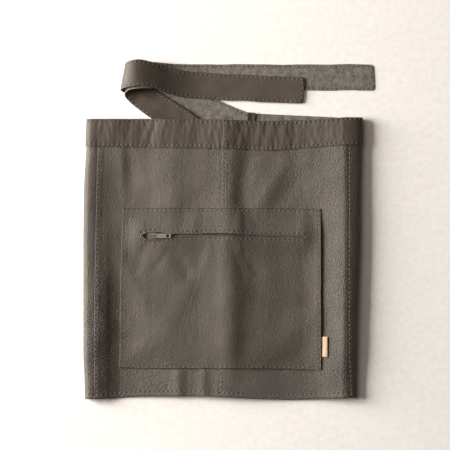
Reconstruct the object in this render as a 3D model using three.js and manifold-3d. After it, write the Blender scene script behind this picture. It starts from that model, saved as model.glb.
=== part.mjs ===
import * as THREE from 'three';
import { mergeVertices } from 'three/addons/utils/BufferGeometryUtils.js';
import Module from 'manifold-3d';

const wasm = await Module();
wasm.setup();

// The apron lies on its back wings, front up. X runs across, Y runs up
// to the waistband, Z stands on the floor. All sizes are millimetres.

// Sizes of the apron
const WIDTH = 400;
const LENGTH = 404.5;
const FOLD_HEIGHT = 18.4;
const LEATHER = 1.2;
const GAP = 0.3;
const BAND_WIDTH = 41.4;
const PANEL_INSET = 1.5;
const HEM = 10;
const HEM_STEP = 2;
const LEFT_STRIP = 13;
const RIGHT_STRIP = 23;
const LEFT_CREST = 7.5;
const RIGHT_CREST = 26;
const CENTRE_SEAM = -4;
const LEFT_WING_END = -41;
const RIGHT_WING_END = 37;
const LEFT_WING_TILT = -0.032;
const LEFT_HEM_TILT = 0.045;
const RIGHT_WING_TILT = 0.03;

// Sizes of the pocket
const POCKET_WIDTH = 289;
const POCKET_HEIGHT = 232;
const POCKET_DROP = 129;
const POCKET_CENTRE = -4.5;
const EDGE_LOFT = 0.35;
const SIDE_LOFT = 1.9;
const MID_LOFT = 3;
const ZIP_LOFT = 4.9;
const LOFT_RAMP = 30;

// Sizes of the zip
const ZIP_DROP = 38.5;
const SLOT_LEFT_MARGIN = 31.5;
const SLOT_RIGHT_MARGIN = 26.5;
const SLOT_HALF = 4.9;
const TAPE_REACH = 11.5;
const TAPE = 0.6;
const CHAIN_WIDTH = 6;
const CHAIN_DEPTH = 2.2;
const SLIDER_FROM_SLOT = 13.5;
const SLIDER_LENGTH = 13;
const SLIDER_WIDTH = 8.6;
const SLIDER_PLATE = 1.3;
const ARCH_LENGTH = 8;
const ARCH_WIDTH = 2.4;
const ARCH_BAR = 1.1;
const PULL_LENGTH = 26;
const PULL_WIDTH = 6;
const PULL_DEPTH = 1.2;
const PULL_HOLE = 3.4;

// Sizes of the label and the ties
const LABEL_WIDTH = 8.4;
const LABEL_TUCK = 5;
const LABEL_HEIGHT = 29;
const LABEL_DEPTH = 1;
const LABEL_ABOVE_CORNER = 46.5;
const TIE_WIDTH = 38;
const LOOP_HEIGHT = 24;

// Places that follow from the sizes
const SLOT_LEFT = POCKET_CENTRE - POCKET_WIDTH / 2 + SLOT_LEFT_MARGIN;
const SLOT_RIGHT = POCKET_CENTRE + POCKET_WIDTH / 2 - SLOT_RIGHT_MARGIN;
const SLIDER_AT = SLOT_LEFT + SLIDER_FROM_SLOT;
const LABEL_DROP = POCKET_DROP + POCKET_HEIGHT - LABEL_ABOVE_CORNER;

// Edges that run down the apron: how far each strays from its straight
// place, as shares of the width, at seven heights from top to hem.
const DOWN = [0, 0.104, 0.254, 0.436, 0.618, 0.825, 1];
const BOWS = {
  left_edge: { top: 0.004, band: 0.0008, upper: -0.0075, waist: -0.0097, middle: -0.0097, lower: -0.0097, hem: -0.0043 },
  left_seam: { top: 0.012, band: 0.0105, upper: 0.0055, waist: 0.0017, middle: -0.0017, lower: -0.0035, hem: -0.0017 },
  pocket_left: { top: 0.0097, band: 0.009, upper: 0.0072, waist: 0, middle: -0.0047, lower: -0.0065, hem: -0.0083 },
  centre: { top: 0.0045, band: 0.002, upper: 0.0005, waist: -0.0005, middle: -0.002, lower: -0.0037, hem: -0.0063 },
  pocket_right: { top: -0.0035, band: -0.0033, upper: -0.0025, waist: 0.0008, middle: 0.0008, lower: 0.0008, hem: 0.0008 },
  right_crest: { top: -0.0035, band: -0.0035, upper: 0, waist: 0, middle: -0.0017, lower: -0.0072, hem: -0.009 },
  right_seam: { top: -0.0005, band: -0.0005, upper: 0.0005, waist: -0.0005, middle: -0.001, lower: 0.0005, hem: 0.007 },
  right_edge: { top: -0.004, band: -0.0043, upper: -0.0072, waist: -0.009, middle: -0.0152, lower: -0.0203, hem: -0.0217 },
};

// Edges that run across: how far each strays upward, as shares of the
// length, at eight places from the left fold to the right fold.
const ACROSS = [-0.5, -0.27, -0.1, -0.009, 0.157, 0.235, 0.34, 0.495];
const WAVES = {
  band_top: { fold_l: 0, mid_l: 0, in_l: -0.001, centre: -0.003, in_r: -0.0069, mid_r: -0.0049, out_r: -0.0012, fold_r: 0.0079 },
  band_bottom: { fold_l: 0.0042, mid_l: 0.0007, in_l: -0.0017, centre: -0.0035, in_r: -0.0094, mid_r: -0.0059, out_r: 0.0025, fold_r: 0.0114 },
  pocket_top: { fold_l: 0.0015, mid_l: 0.001, in_l: 0.0005, centre: 0, in_r: -0.0007, mid_r: -0.0012, out_r: -0.0025, fold_r: -0.0025 },
  zip: { fold_l: -0.004, mid_l: -0.003, in_l: 0.002, centre: 0.0022, in_r: -0.0049, mid_r: -0.0054, out_r: -0.0064, fold_r: -0.0064 },
  pocket_bottom: { fold_l: 0.0064, mid_l: 0.001, in_l: 0.0005, centre: 0.0015, in_r: -0.0005, mid_r: -0.002, out_r: -0.0049, fold_r: -0.0049 },
  hem: { fold_l: 0, mid_l: 0.0084, in_l: 0.0094, centre: 0.0059, in_r: -0.002, mid_r: -0.0035, out_r: 0.0005, fold_r: 0.0069 },
};

// Heights of the outer leather above the floor, as shares of the right
// fold's height, one row for each level down the apron.
const RELIEF_AT = {
  left_crest: -0.494, slope: -0.425, valley: -0.383, rise: -0.32, mid_left: -0.19, dip: -0.1,
  flank: -0.045, ridge: 0.012, foot: 0.075, flat: 0.14, low: 0.235, shoulder: 0.345, right_crest: 0.44,
};
const RELIEF = [
  { down: 0, left_crest: 0.685, slope: 0.587, valley: 0.538, rise: 0.538, mid_left: 0.565, dip: 0.554,
    flank: 0.565, ridge: 0.587, foot: 0.511, flat: 0.505, low: 0.511, shoulder: 0.674, right_crest: 0.793 },
  { down: 0.104, left_crest: 0.739, slope: 0.576, valley: 0.522, rise: 0.533, mid_left: 0.576, dip: 0.554,
    flank: 0.576, ridge: 0.614, foot: 0.484, flat: 0.495, low: 0.5, shoulder: 0.717, right_crest: 0.891 },
  { down: 0.254, left_crest: 0.783, slope: 0.554, valley: 0.484, rise: 0.5, mid_left: 0.576, dip: 0.538,
    flank: 0.571, ridge: 0.63, foot: 0.44, flat: 0.473, low: 0.484, shoulder: 0.739, right_crest: 0.957 },
  { down: 0.436, left_crest: 0.804, slope: 0.527, valley: 0.446, rise: 0.462, mid_left: 0.543, dip: 0.538,
    flank: 0.609, ridge: 0.685, foot: 0.467, flat: 0.44, low: 0.457, shoulder: 0.739, right_crest: 1 },
  { down: 0.647, left_crest: 0.804, slope: 0.478, valley: 0.38, rise: 0.424, mid_left: 0.505, dip: 0.527,
    flank: 0.609, ridge: 0.685, foot: 0.457, flat: 0.429, low: 0.424, shoulder: 0.717, right_crest: 1 },
  { down: 0.807, left_crest: 0.783, slope: 0.435, valley: 0.359, rise: 0.413, mid_left: 0.473, dip: 0.5,
    flank: 0.592, ridge: 0.63, foot: 0.451, flat: 0.435, low: 0.435, shoulder: 0.728, right_crest: 0.957 },
  { down: 1, left_crest: 0.62, slope: 0.348, valley: 0.31, rise: 0.332, mid_left: 0.386, dip: 0.391,
    flank: 0.413, ridge: 0.457, foot: 0.348, flat: 0.337, low: 0.348, shoulder: 0.543, right_crest: 0.685 },
];

// Soft ridges (up) and dents (down) laid over the relief: x and half
// width are shares of the width, y of the length, lift of the height.
const FOLDS = [
  { x1: 0.0925, y1: -0.1112, x2: 0.055, y2: -0.2917, half: 0.0275, lift: -0.087 },
  { x1: 0.22, y1: -0.1533, x2: 0.125, y2: -0.3016, half: 0.0275, lift: 0.087 },
  { x1: 0.25, y1: -0.2349, x2: 0.185, y2: -0.3066, half: 0.0275, lift: -0.0435 },
  { x1: -0.19, y1: -0.1483, x2: -0.19, y2: -0.4944, half: 0.0375, lift: 0.0543 },
  { x1: -0.3475, y1: -0.1236, x2: -0.3325, y2: -0.2225, half: 0.0225, lift: -0.0543 },
  { x1: -0.2, y1: -0.9197, x2: -0.195, y2: -0.9889, half: 0.02, lift: 0.0761 },
  { x1: -0.1025, y1: -0.9197, x2: -0.0975, y2: -0.9889, half: 0.02, lift: 0.0707 },
  { x1: -0.1875, y1: -0.4845, x2: -0.145, y2: -0.5538, half: 0.02, lift: -0.0435 },
  { x1: 0.075, y1: -0.4845, x2: 0.115, y2: -0.5488, half: 0.02, lift: -0.038 },
];

// Half of the zip slot's opening, as shares of its widest half, along
// the slot's length.
const SLOT = [
  { along: -0.032, half: 1 }, { along: 0.084, half: 1 }, { along: 0.18, half: 0.449 }, { along: 0.266, half: 0.204 },
  { along: 0.448, half: 0.347 }, { along: 0.604, half: 0.245 }, { along: 0.742, half: 0.163 }, { along: 1.002, half: 0.122 },
];

// Where each tie's middle line runs: across and up are shares of the
// apron's width, lift is a share of the loop's height, and lean is how
// far the tie's cross line turns to the right, in degrees.
const TIE_RIGHT = [
  { across: 0.0875, up: -0.027, lift: 0.025, lean: 2 },
  { across: 0.0700, up: -0.0192, lift: 0.025, lean: 9 },
  { across: 0.0270, up: -0.0040, lift: 0.025, lean: 15 },
  { across: -0.0450, up: 0.0264, lift: 0.025, lean: 20 },
  { across: -0.1606, up: 0.0708, lift: 0.025, lean: 21 },
  { across: -0.2690, up: 0.1105, lift: 0.025, lean: 21 },
  { across: -0.3195, up: 0.1289, lift: 0.042, lean: 19 },
  { across: -0.3502, up: 0.1415, lift: 0.167, lean: 15 },
  { across: -0.3650, up: 0.1505, lift: 0.479, lean: 11 },
  { across: -0.3538, up: 0.1585, lift: 0.812, lean: 6 },
  { across: -0.3267, up: 0.1635, lift: 0.983, lean: 0 },
  { across: -0.2942, up: 0.1650, lift: 0.938, lean: -4 },
  { across: -0.2509, up: 0.1556, lift: 0.729, lean: -3 },
  { across: -0.1931, up: 0.1361, lift: 0.396, lean: 0 },
  { across: -0.1282, up: 0.1245, lift: 0.175, lean: 2 },
  { across: -0.0523, up: 0.1191, lift: 0.112, lean: 3 },
  { across: 0.1101, up: 0.1116, lift: 0.104, lean: 3 },
  { across: 0.2870, up: 0.1029, lift: 0.108, lean: 4.5 },
];
const TIE_LEFT = [
  { across: -0.1005, up: -0.0642, lift: 0.025, lean: 2 },
  { across: -0.0860, up: -0.0642, lift: 0.042, lean: 9 },
  { across: -0.0757, up: -0.0615, lift: 0.135, lean: 16 },
  { across: -0.0840, up: -0.0575, lift: 0.232, lean: 20 },
  { across: -0.1101, up: -0.0437, lift: 0.232, lean: 30 },
  { across: -0.1426, up: -0.0220, lift: 0.205, lean: 34 },
  { across: -0.1801, up: 0.0032, lift: 0.19, lean: 34 },
  { across: -0.2329, up: 0.0393, lift: 0.145, lean: 34 },
  { across: -0.2798, up: 0.0711, lift: 0.092, lean: 34 },
  { across: -0.3105, up: 0.0953, lift: 0.117, lean: 31 },
  { across: -0.3357, up: 0.1170, lift: 0.271, lean: 25 },
  { across: -0.3437, up: 0.1303, lift: 0.479, lean: 19 },
  { across: -0.3321, up: 0.1430, lift: 0.708, lean: 11 },
  { across: -0.3014, up: 0.1491, lift: 0.825, lean: 4 },
  { across: -0.2545, up: 0.1513, lift: 0.646, lean: 0 },
  { across: -0.2004, up: 0.1520, lift: 0.358, lean: 0 },
  { across: -0.1390, up: 0.1520, lift: 0.125, lean: 0 },
  { across: -0.0704, up: 0.1516, lift: 0.037, lean: 0 },
  { across: 0.0379, up: 0.1513, lift: 0.025, lean: 0 },
  { across: 0.2726, up: 0.1513, lift: 0.025, lean: 0 },
  { across: 0.5422, up: 0.1513, lift: 0.025, lean: -3 },
];

// Smooth line through a few heights, level at every peak and at both ends
function smoothLine(xs, ys, x) {
  const n = xs.length;
  if (x <= xs[0]) return ys[0];
  if (x >= xs[n - 1]) return ys[n - 1];
  let k = 0;
  while (x > xs[k + 1]) k++;
  const slope = (a) => {
    if (a === 0 || a === n - 1) return 0;
    const before = (ys[a] - ys[a - 1]) / (xs[a] - xs[a - 1]);
    const after = (ys[a + 1] - ys[a]) / (xs[a + 1] - xs[a]);
    return before * after <= 0 ? 0 : (2 * before * after) / (before + after);
  };
  const h = xs[k + 1] - xs[k];
  const t = (x - xs[k]) / h;
  const s = 1 - t;
  return ys[k] * s * s * (1 + 2 * t) + ys[k + 1] * t * t * (3 - 2 * t)
    + h * t * s * (s * slope(k) - t * slope(k + 1));
}

function ease(t) {
  const s = Math.min(1, Math.max(0, t));
  return s * s * (3 - 2 * s);
}

function mix(a, b, t) {
  return a + (b - a) * t;
}

// Straight places of the edges that run down the apron
const STRAIGHT = {
  left_edge: -WIDTH / 2,
  left_seam: -WIDTH / 2 + LEFT_STRIP,
  pocket_left: POCKET_CENTRE - POCKET_WIDTH / 2,
  centre: CENTRE_SEAM,
  pocket_right: POCKET_CENTRE + POCKET_WIDTH / 2,
  right_crest: WIDTH / 2 - RIGHT_CREST,
  right_seam: WIDTH / 2 - RIGHT_STRIP,
  right_edge: WIDTH / 2,
};
function sideways(name, down) {
  return STRAIGHT[name] + WIDTH * smoothLine(DOWN, Object.values(BOWS[name]), down);
}

// Distances of the cross edges below the waistband's upper edge
const DROPS = {
  band_top: 0,
  band_bottom: BAND_WIDTH,
  pocket_top: POCKET_DROP,
  zip: POCKET_DROP + ZIP_DROP,
  pocket_bottom: POCKET_DROP + POCKET_HEIGHT,
  hem: LENGTH,
};
const SPOTS = ACROSS.map((share) => share * WIDTH);
function level(name, x) {
  return -DROPS[name] + LENGTH * smoothLine(SPOTS, Object.values(WAVES[name]), x);
}
function slotHalf(x) {
  const along = (x - SLOT_LEFT) / (SLOT_RIGHT - SLOT_LEFT);
  return SLOT_HALF * smoothLine(SLOT.map((row) => row.along), SLOT.map((row) => row.half), along);
}

// Height of the outer leather between the two folded sides
const PLACES = Object.keys(RELIEF_AT);
const LEVELS = RELIEF.map((row) => row.down);
function foldLift(x, y) {
  let lift = 0;
  for (const fold of FOLDS) {
    const dx = (fold.x2 - fold.x1) * WIDTH;
    const dy = (fold.y2 - fold.y1) * LENGTH;
    const px = x - fold.x1 * WIDTH;
    const py = y - fold.y1 * LENGTH;
    const t = Math.min(1, Math.max(0, (px * dx + py * dy) / (dx * dx + dy * dy)));
    const away = Math.hypot(px - t * dx, py - t * dy) / (fold.half * WIDTH);
    lift += fold.lift * Math.exp(-away * away);
  }
  return lift;
}
function relief(x, y, down) {
  const xs = PLACES.map((place) => RELIEF_AT[place] * WIDTH);
  xs[0] = sideways('left_edge', down) + LEFT_CREST;
  xs[xs.length - 1] = sideways('right_crest', down);
  const zs = PLACES.map((place) => smoothLine(LEVELS, RELIEF.map((row) => row[place]), down));
  return FOLD_HEIGHT * (smoothLine(xs, zs, x) + foldLift(x, y));
}

// The lines down the apron that every layer shares, with the number of
// steps from each line to the next
const COLUMNS = [];
function addColumns(steps, place) {
  const last = COLUMNS[COLUMNS.length - 1];
  for (let k = 1; k <= steps; k++) {
    const t = k / steps;
    COLUMNS.push(last && steps > 0 ? (down) => mix(last(down), place(down), t) : place);
  }
  return COLUMNS.length - 1;
}
const seamL = addColumns(1, (down) => sideways('left_seam', down));
const pocketL = addColumns(3, (down) => sideways('pocket_left', down));
const slotL = addColumns(2, () => SLOT_LEFT);
addColumns(1, () => SLIDER_AT + SLIDER_LENGTH / 2 + 1);
addColumns(1, () => SLIDER_AT + PULL_LENGTH + 3);
const seamC = addColumns(5, (down) => sideways('centre', down));
const slotR = addColumns(7, () => SLOT_RIGHT);
const pocketR = addColumns(2, (down) => sideways('pocket_right', down));
addColumns(2, (down) => sideways('right_crest', down));
const seamR = addColumns(1, (down) => sideways('right_seam', down));

// The lines across the apron, each with its height above the hem at x
const ROWS = [];
function addRows(steps, down, height) {
  const last = ROWS[ROWS.length - 1];
  for (let k = 1; k <= steps; k++) {
    const t = k / steps;
    if (!last) ROWS.push({ down, height });
    else ROWS.push({ down: mix(last.down, down, t), height: (x) => mix(last.height(x), height(x), t) });
  }
  return ROWS.length - 1;
}
const zipDown = DROPS.zip / LENGTH;
const bandTop = addRows(1, 0, (x) => level('band_top', x));
const panelTop = addRows(1, PANEL_INSET / LENGTH, (x) => level('band_top', x) - PANEL_INSET);
const bandBottom = addRows(3, BAND_WIDTH / LENGTH, (x) => level('band_bottom', x));
const pocketTop = addRows(6, POCKET_DROP / LENGTH, (x) => level('pocket_top', x));
const tapeTop = addRows(2, zipDown - TAPE_REACH / LENGTH, (x) => level('zip', x) + TAPE_REACH);
const slotTop = addRows(1, zipDown, (x) => level('zip', x) + slotHalf(x));
const slotBottom = addRows(1, zipDown, (x) => level('zip', x) - slotHalf(x));
const tapeBottom = addRows(1, zipDown + TAPE_REACH / LENGTH, (x) => level('zip', x) - TAPE_REACH);
const pocketBottom = addRows(9, DROPS.pocket_bottom / LENGTH, (x) => level('pocket_bottom', x));
addRows(2, 1 - (HEM + HEM_STEP) / LENGTH, (x) => level('hem', x) + HEM + HEM_STEP);
const hemTurn = addRows(1, 1 - HEM / LENGTH, (x) => level('hem', x) + HEM);
const hemEdge = addRows(1, 1, (x) => level('hem', x));

// One continuous outer skin: left wing's end, left fold, front, right
// fold, right wing's end. Every leather piece is cut from this skin.
const TURN_STEPS = 7;
const WING_STEPS = 3;
function wingRow(side, row, r) {
  const down = row.down;
  const left = side < 0;
  const edge = sideways(left ? 'left_edge' : 'right_edge', down);
  const crest = left ? edge + LEFT_CREST : sideways('right_crest', down);
  const seam = sideways(left ? 'left_seam' : 'right_seam', down);
  const end = left ? LEFT_WING_END : RIGHT_WING_END;
  const tilt = left ? mix(LEFT_WING_TILT, LEFT_HEM_TILT, down) : RIGHT_WING_TILT;
  const y = row.height(crest);
  const top = relief(crest, y, down);
  const bottom = r <= bandBottom ? GAP + LEATHER : 0;
  const reach = Math.abs(edge - crest);
  const start = left ? Math.PI / 2 : Math.acos(Math.min(1, Math.max(0, (seam - crest) / reach)));
  const points = [];
  for (let k = left ? 0 : 1; k <= TURN_STEPS; k++) {
    const turn = mix(start, -Math.PI / 2, k / TURN_STEPS);
    const x = crest + side * reach * Math.cos(turn);
    points.push(new THREE.Vector3(x, y, mix(bottom, top, (1 + Math.sin(turn)) / 2)));
  }
  for (let k = 1; k <= WING_STEPS; k++) {
    const x = mix(crest, end, k / WING_STEPS);
    points.push(new THREE.Vector3(x, y + tilt * Math.abs(x - crest), bottom));
  }
  return points;
}
function flankHeight(x, row) {
  const crest = sideways('right_crest', row.down);
  const y = row.height(x);
  if (x <= crest) return relief(x, y, row.down);
  const reach = sideways('right_edge', row.down) - crest;
  const top = relief(crest, row.height(crest), row.down);
  return (top / 2) * (1 + Math.sqrt(Math.max(0, 1 - ((x - crest) / reach) ** 2)));
}
const SKIN = ROWS.map((row, r) => {
  const front = COLUMNS.map((column) => {
    const x = column(row.down);
    return new THREE.Vector3(x, row.height(x), flankHeight(x, row));
  });
  return [...wingRow(-1, row, r).reverse(), ...front, ...wingRow(1, row, r)];
});
const SHIFT = TURN_STEPS + 1 + WING_STEPS;
const LAST = SKIN[0].length - 1;
const OUT = SKIN.map((row, r) => row.map((point, c) => {
  const up = SKIN[Math.max(0, r - 1)][c];
  const low = SKIN[Math.min(SKIN.length - 1, r + 1)][c];
  const before = row[Math.max(0, c - 1)];
  const after = row[Math.min(LAST, c + 1)];
  return low.clone().sub(up).cross(after.clone().sub(before)).normalize();
}));
function skin(r, c, away) {
  return SKIN[r][c].clone().addScaledVector(OUT[r][c], away);
}

// Solid between an inner and an outer net of points; cells that the
// "open" test names are left out, and every edge gets its own wall
function solidOf(outer, inner, open = () => false) {
  const rows = outer.length;
  const cols = outer[0].length;
  const positions = [];
  for (const net of [outer, inner]) for (const line of net) for (const p of line) positions.push(p.x, p.y, p.z);
  const at = (layer, r, c) => layer * rows * cols + r * cols + c;
  const faces = [];
  const filled = (r, c) => r >= 0 && c >= 0 && r < rows - 1 && c < cols - 1 && !open(r, c);
  const wall = (r1, c1, r2, c2) => {
    faces.push(at(0, r1, c1), at(1, r1, c1), at(1, r2, c2), at(0, r1, c1), at(1, r2, c2), at(0, r2, c2));
  };
  for (let r = 0; r < rows - 1; r++) {
    for (let c = 0; c < cols - 1; c++) {
      if (!filled(r, c)) continue;
      faces.push(at(0, r, c), at(0, r + 1, c), at(0, r + 1, c + 1));
      faces.push(at(0, r, c), at(0, r + 1, c + 1), at(0, r, c + 1));
      faces.push(at(1, r, c), at(1, r + 1, c + 1), at(1, r + 1, c));
      faces.push(at(1, r, c), at(1, r, c + 1), at(1, r + 1, c + 1));
      if (!filled(r, c - 1)) wall(r, c, r + 1, c);
      if (!filled(r + 1, c)) wall(r + 1, c, r + 1, c + 1);
      if (!filled(r, c + 1)) wall(r + 1, c + 1, r, c + 1);
      if (!filled(r - 1, c)) wall(r, c + 1, r, c);
    }
  }
  const geometry = new THREE.BufferGeometry();
  geometry.setAttribute('position', new THREE.Float32BufferAttribute(positions, 3));
  geometry.setIndex(faces);
  geometry.computeVertexNormals();
  return geometry;
}

// A leather piece cut from the skin between two rows and two columns,
// with its inner and outer distance from the skin; "trim" pulls the
// first and last column in to leave half a gap at a seam
function leatherPiece(r0, r1, c0, c1, near, far, trim = [0, 0], open) {
  const net = (away) => {
    const lines = [];
    for (let r = r0; r <= r1; r++) {
      const line = [];
      for (let c = c0; c <= c1; c++) line.push(skin(r, c, away(r, c)));
      const n = line.length - 1;
      const first = line[1].clone().sub(line[0]).normalize();
      const final = line[n - 1].clone().sub(line[n]).normalize();
      line[0].addScaledVector(first, trim[0]);
      line[n].addScaledVector(final, trim[1]);
      lines.push(line);
    }
    return lines;
  };
  return solidOf(net(far), net(near), open);
}

function leather(colour) {
  return new THREE.MeshStandardMaterial({ color: colour, roughness: 0.65, metalness: 0 });
}
function metal(colour) {
  return new THREE.MeshStandardMaterial({ color: colour, roughness: 0.35, metalness: 1 });
}

const apron = new THREE.Group();
apron.name = 'waist_apron';
function place(name, geometry, material, parent = apron) {
  const mesh = new THREE.Mesh(geometry, material);
  mesh.name = name;
  parent.add(mesh);
  return mesh;
}

// Body panels, with the hem turned up inside as a second layer
const half = GAP / 2;
const bodyIn = (r) => (r >= hemTurn ? -2 * LEATHER : -LEATHER);
const bodyOut = () => 0;
place('side_panel_left',
  leatherPiece(panelTop, hemEdge, 0, SHIFT + seamL, bodyIn, bodyOut, [0, half]), leather(0x5f554c));
place('front_panel_left',
  leatherPiece(panelTop, hemEdge, SHIFT + seamL, SHIFT + seamC, bodyIn, bodyOut, [half, half]), leather(0x665c53));
place('front_panel_right',
  leatherPiece(panelTop, hemEdge, SHIFT + seamC, SHIFT + seamR, bodyIn, bodyOut, [half, half]), leather(0x645a51));
place('side_panel_right',
  leatherPiece(panelTop, hemEdge, SHIFT + seamR, LAST, bodyIn, bodyOut, [half, 0]), leather(0x5f554c));

// Waistband, one layer over the panels' upper edge
const bandIn = () => GAP;
const bandOut = () => GAP + LEATHER;
place('waistband_left',
  leatherPiece(bandTop, bandBottom, 0, SHIFT + seamC, bandIn, bandOut, [0, half]), leather(0x625850));
place('waistband_right',
  leatherPiece(bandTop, bandBottom, SHIFT + seamC, LAST, bandIn, bandOut, [half, 0]), leather(0x625850));

// Patch pocket, raised over its room and over the zip, with a slot
const firstC = SHIFT + pocketL;
const lastC = SHIFT + pocketR;
function loft(r, c) {
  const p = SKIN[r][c];
  const down = ROWS[r].down;
  const left = p.x - sideways('pocket_left', down);
  const right = sideways('pocket_right', down) - p.x;
  const top = level('pocket_top', p.x) - p.y;
  const bottom = p.y - level('pocket_bottom', p.x);
  const inside = Math.min(ease(left / LOFT_RAMP), ease(top / LOFT_RAMP), ease(bottom / LOFT_RAMP));
  const room = mix(EDGE_LOFT, MID_LOFT, inside);
  const side = mix(SIDE_LOFT, room, ease(right / LOFT_RAMP)) - room;
  const nearZip = Math.exp(-(((p.y - level('zip', p.x)) / 17) ** 2));
  const along = ease((left - 6) / 22) * ease((right - 4) / 20);
  return Math.max(room + side, mix(room, ZIP_LOFT, nearZip * along));
}
const pocketIn = (r, c) => loft(r, c);
const pocketOut = (r, c) => loft(r, c) + LEATHER;
const inSlot = (r, c) => r === slotTop - pocketTop && c >= slotL - pocketL && c < slotR - pocketL;
place('pocket', leatherPiece(pocketTop, pocketBottom, firstC, lastC, pocketIn, pocketOut, [0, 0], inSlot),
  leather(0x6a6057));

// Zip tapes under the lips of the slot, and the closed chain between
const tapeDepth = 1.6;
const chainHalf = CHAIN_WIDTH / 2;
const tapeFrom = SHIFT + slotL - 1;
const tapeTo = SHIFT + slotR + 1;
function tape(edgeRow, lipRow) {
  const net = (away) => {
    const outerLine = [];
    const innerLine = [];
    for (let c = tapeFrom; c <= tapeTo; c++) {
      const edge = skin(edgeRow, c, loft(edgeRow, c) - tapeDepth + away);
      const lip = skin(lipRow, c, loft(lipRow, c) - tapeDepth + away);
      const lipOff = slotHalf(SKIN[lipRow][c].x);
      const reach = TAPE_REACH - lipOff;
      outerLine.push(edge.clone().lerp(lip, 0.04));
      innerLine.push(edge.clone().lerp(lip, (TAPE_REACH - chainHalf - GAP) / reach));
    }
    return edgeRow < lipRow ? [outerLine, innerLine] : [innerLine, outerLine];
  };
  return solidOf(net(TAPE / 2), net(-TAPE / 2));
}
place('zip_tape_upper', tape(tapeTop, slotTop), leather(0x4a4f45));
place('zip_tape_lower', tape(tapeBottom, slotBottom), leather(0x4a4f45));

function lipMiddle(c, away) {
  const upper = skin(slotTop, c, loft(slotTop, c) + away);
  const lower = skin(slotBottom, c, loft(slotBottom, c) + away);
  return { middle: upper.clone().add(lower).multiplyScalar(0.5), side: upper.sub(lower).normalize() };
}
function zipPoint(x, away) {
  let c = SHIFT + slotL;
  while (c < SHIFT + slotR - 1 && SKIN[slotTop][c + 1].x < x) c++;
  const a = lipMiddle(c, away);
  const b = lipMiddle(c + 1, away);
  const t = (x - a.middle.x) / (b.middle.x - a.middle.x);
  return a.middle.lerp(b.middle, t);
}
const chainStart = SLIDER_AT - SLIDER_LENGTH / 2 + 4;
function chain() {
  const net = (away) => {
    const lines = [[], []];
    for (let c = SHIFT + slotL; c <= tapeTo; c++) {
      const spot = lipMiddle(c, away - tapeDepth);
      if (c === SHIFT + slotL) spot.middle = zipPoint(chainStart, away - tapeDepth);
      lines[0].push(spot.middle.clone().addScaledVector(spot.side, chainHalf));
      lines[1].push(spot.middle.clone().addScaledVector(spot.side, -chainHalf));
    }
    return lines;
  };
  return solidOf(net(CHAIN_DEPTH / 2), net(-CHAIN_DEPTH / 2));
}
place('zip_chain', chain(), leather(0x3c382f));

// Slider and pull in a small frame that stands on the chain's middle,
// with its X along the zip and its Z away from the leather
const zipA = zipPoint(SLIDER_AT, -tapeDepth);
const zipB = zipPoint(SLIDER_AT + PULL_LENGTH, -tapeDepth);
const zipFrame = new THREE.Group();
zipFrame.name = 'zip_frame';
zipFrame.position.copy(zipA);
zipFrame.rotation.y = -Math.atan2(zipB.z - zipA.z, zipB.x - zipA.x);
apron.add(zipFrame);

function solidFrom(geometry) {
  for (const key of ['normal', 'uv']) geometry.deleteAttribute(key);
  const merged = mergeVertices(geometry, 1e-4);
  return new wasm.Manifold(new wasm.Mesh({
    numProp: 3,
    vertProperties: new Float32Array(merged.getAttribute('position').array),
    triVerts: new Uint32Array(merged.getIndex().array),
  }));
}
function block(x0, x1, width, z0, z1) {
  const box = new THREE.BoxGeometry(x1 - x0, width, z1 - z0);
  return solidFrom(box.translate((x0 + x1) / 2, 0, (z0 + z1) / 2));
}
function roundedPlate(x0, x1, width, z0, z1, corner) {
  const y = width / 2;
  const outline = new THREE.Shape();
  outline.moveTo(x0 + corner, -y);
  outline.lineTo(x1 - corner, -y);
  outline.absarc(x1 - corner, -y + corner, corner, -Math.PI / 2, 0);
  outline.absarc(x1 - corner, y - corner, corner, 0, Math.PI / 2);
  outline.absarc(x0 + corner, y - corner, corner, Math.PI / 2, Math.PI);
  outline.absarc(x0 + corner, -y + corner, corner, Math.PI, 1.5 * Math.PI);
  const plate = new THREE.ExtrudeGeometry(outline, { depth: z1 - z0, bevelEnabled: false, curveSegments: 5 });
  return solidFrom(plate.translate(0, 0, z0));
}
function meshOf(manifold) {
  const mesh = manifold.getMesh();
  const geometry = new THREE.BufferGeometry();
  const count = mesh.vertProperties.length / mesh.numProp;
  const positions = new Float32Array(count * 3);
  for (let k = 0; k < count; k++) {
    for (let a = 0; a < 3; a++) positions[3 * k + a] = mesh.vertProperties[k * mesh.numProp + a];
  }
  geometry.setAttribute('position', new THREE.BufferAttribute(positions, 3));
  geometry.setIndex(Array.from(mesh.triVerts));
  geometry.computeVertexNormals();
  return geometry;
}
const innerHalf = CHAIN_DEPTH / 2 + GAP;
const plateTop = innerHalf + SLIDER_PLATE;
const axisHeight = plateTop + 0.5 + PULL_DEPTH / 2;
const archClear = axisHeight + PULL_DEPTH / 2 + 0.5;
const postRight = -SLIDER_LENGTH / 2 + 3.4;
const sliderEnd = SLIDER_LENGTH / 2;
const slider = roundedPlate(-sliderEnd, sliderEnd, SLIDER_WIDTH, innerHalf, plateTop, 2.4)
  .add(roundedPlate(-sliderEnd, sliderEnd, SLIDER_WIDTH, -plateTop, -innerHalf, 2.4))
  .add(block(-sliderEnd + 0.8, postRight, 2.4, -plateTop + 0.2, plateTop - 0.2))
  .add(block(-ARCH_LENGTH / 2, -ARCH_LENGTH / 2 + ARCH_BAR, ARCH_WIDTH, plateTop - 0.2, archClear + ARCH_BAR))
  .add(block(ARCH_LENGTH / 2 - ARCH_BAR, ARCH_LENGTH / 2, ARCH_WIDTH, plateTop - 0.2, archClear + ARCH_BAR))
  .add(block(-ARCH_LENGTH / 2, ARCH_LENGTH / 2, ARCH_WIDTH, archClear, archClear + ARCH_BAR));
place('zip_slider', meshOf(slider), metal(0x9a958c), zipFrame);

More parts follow.
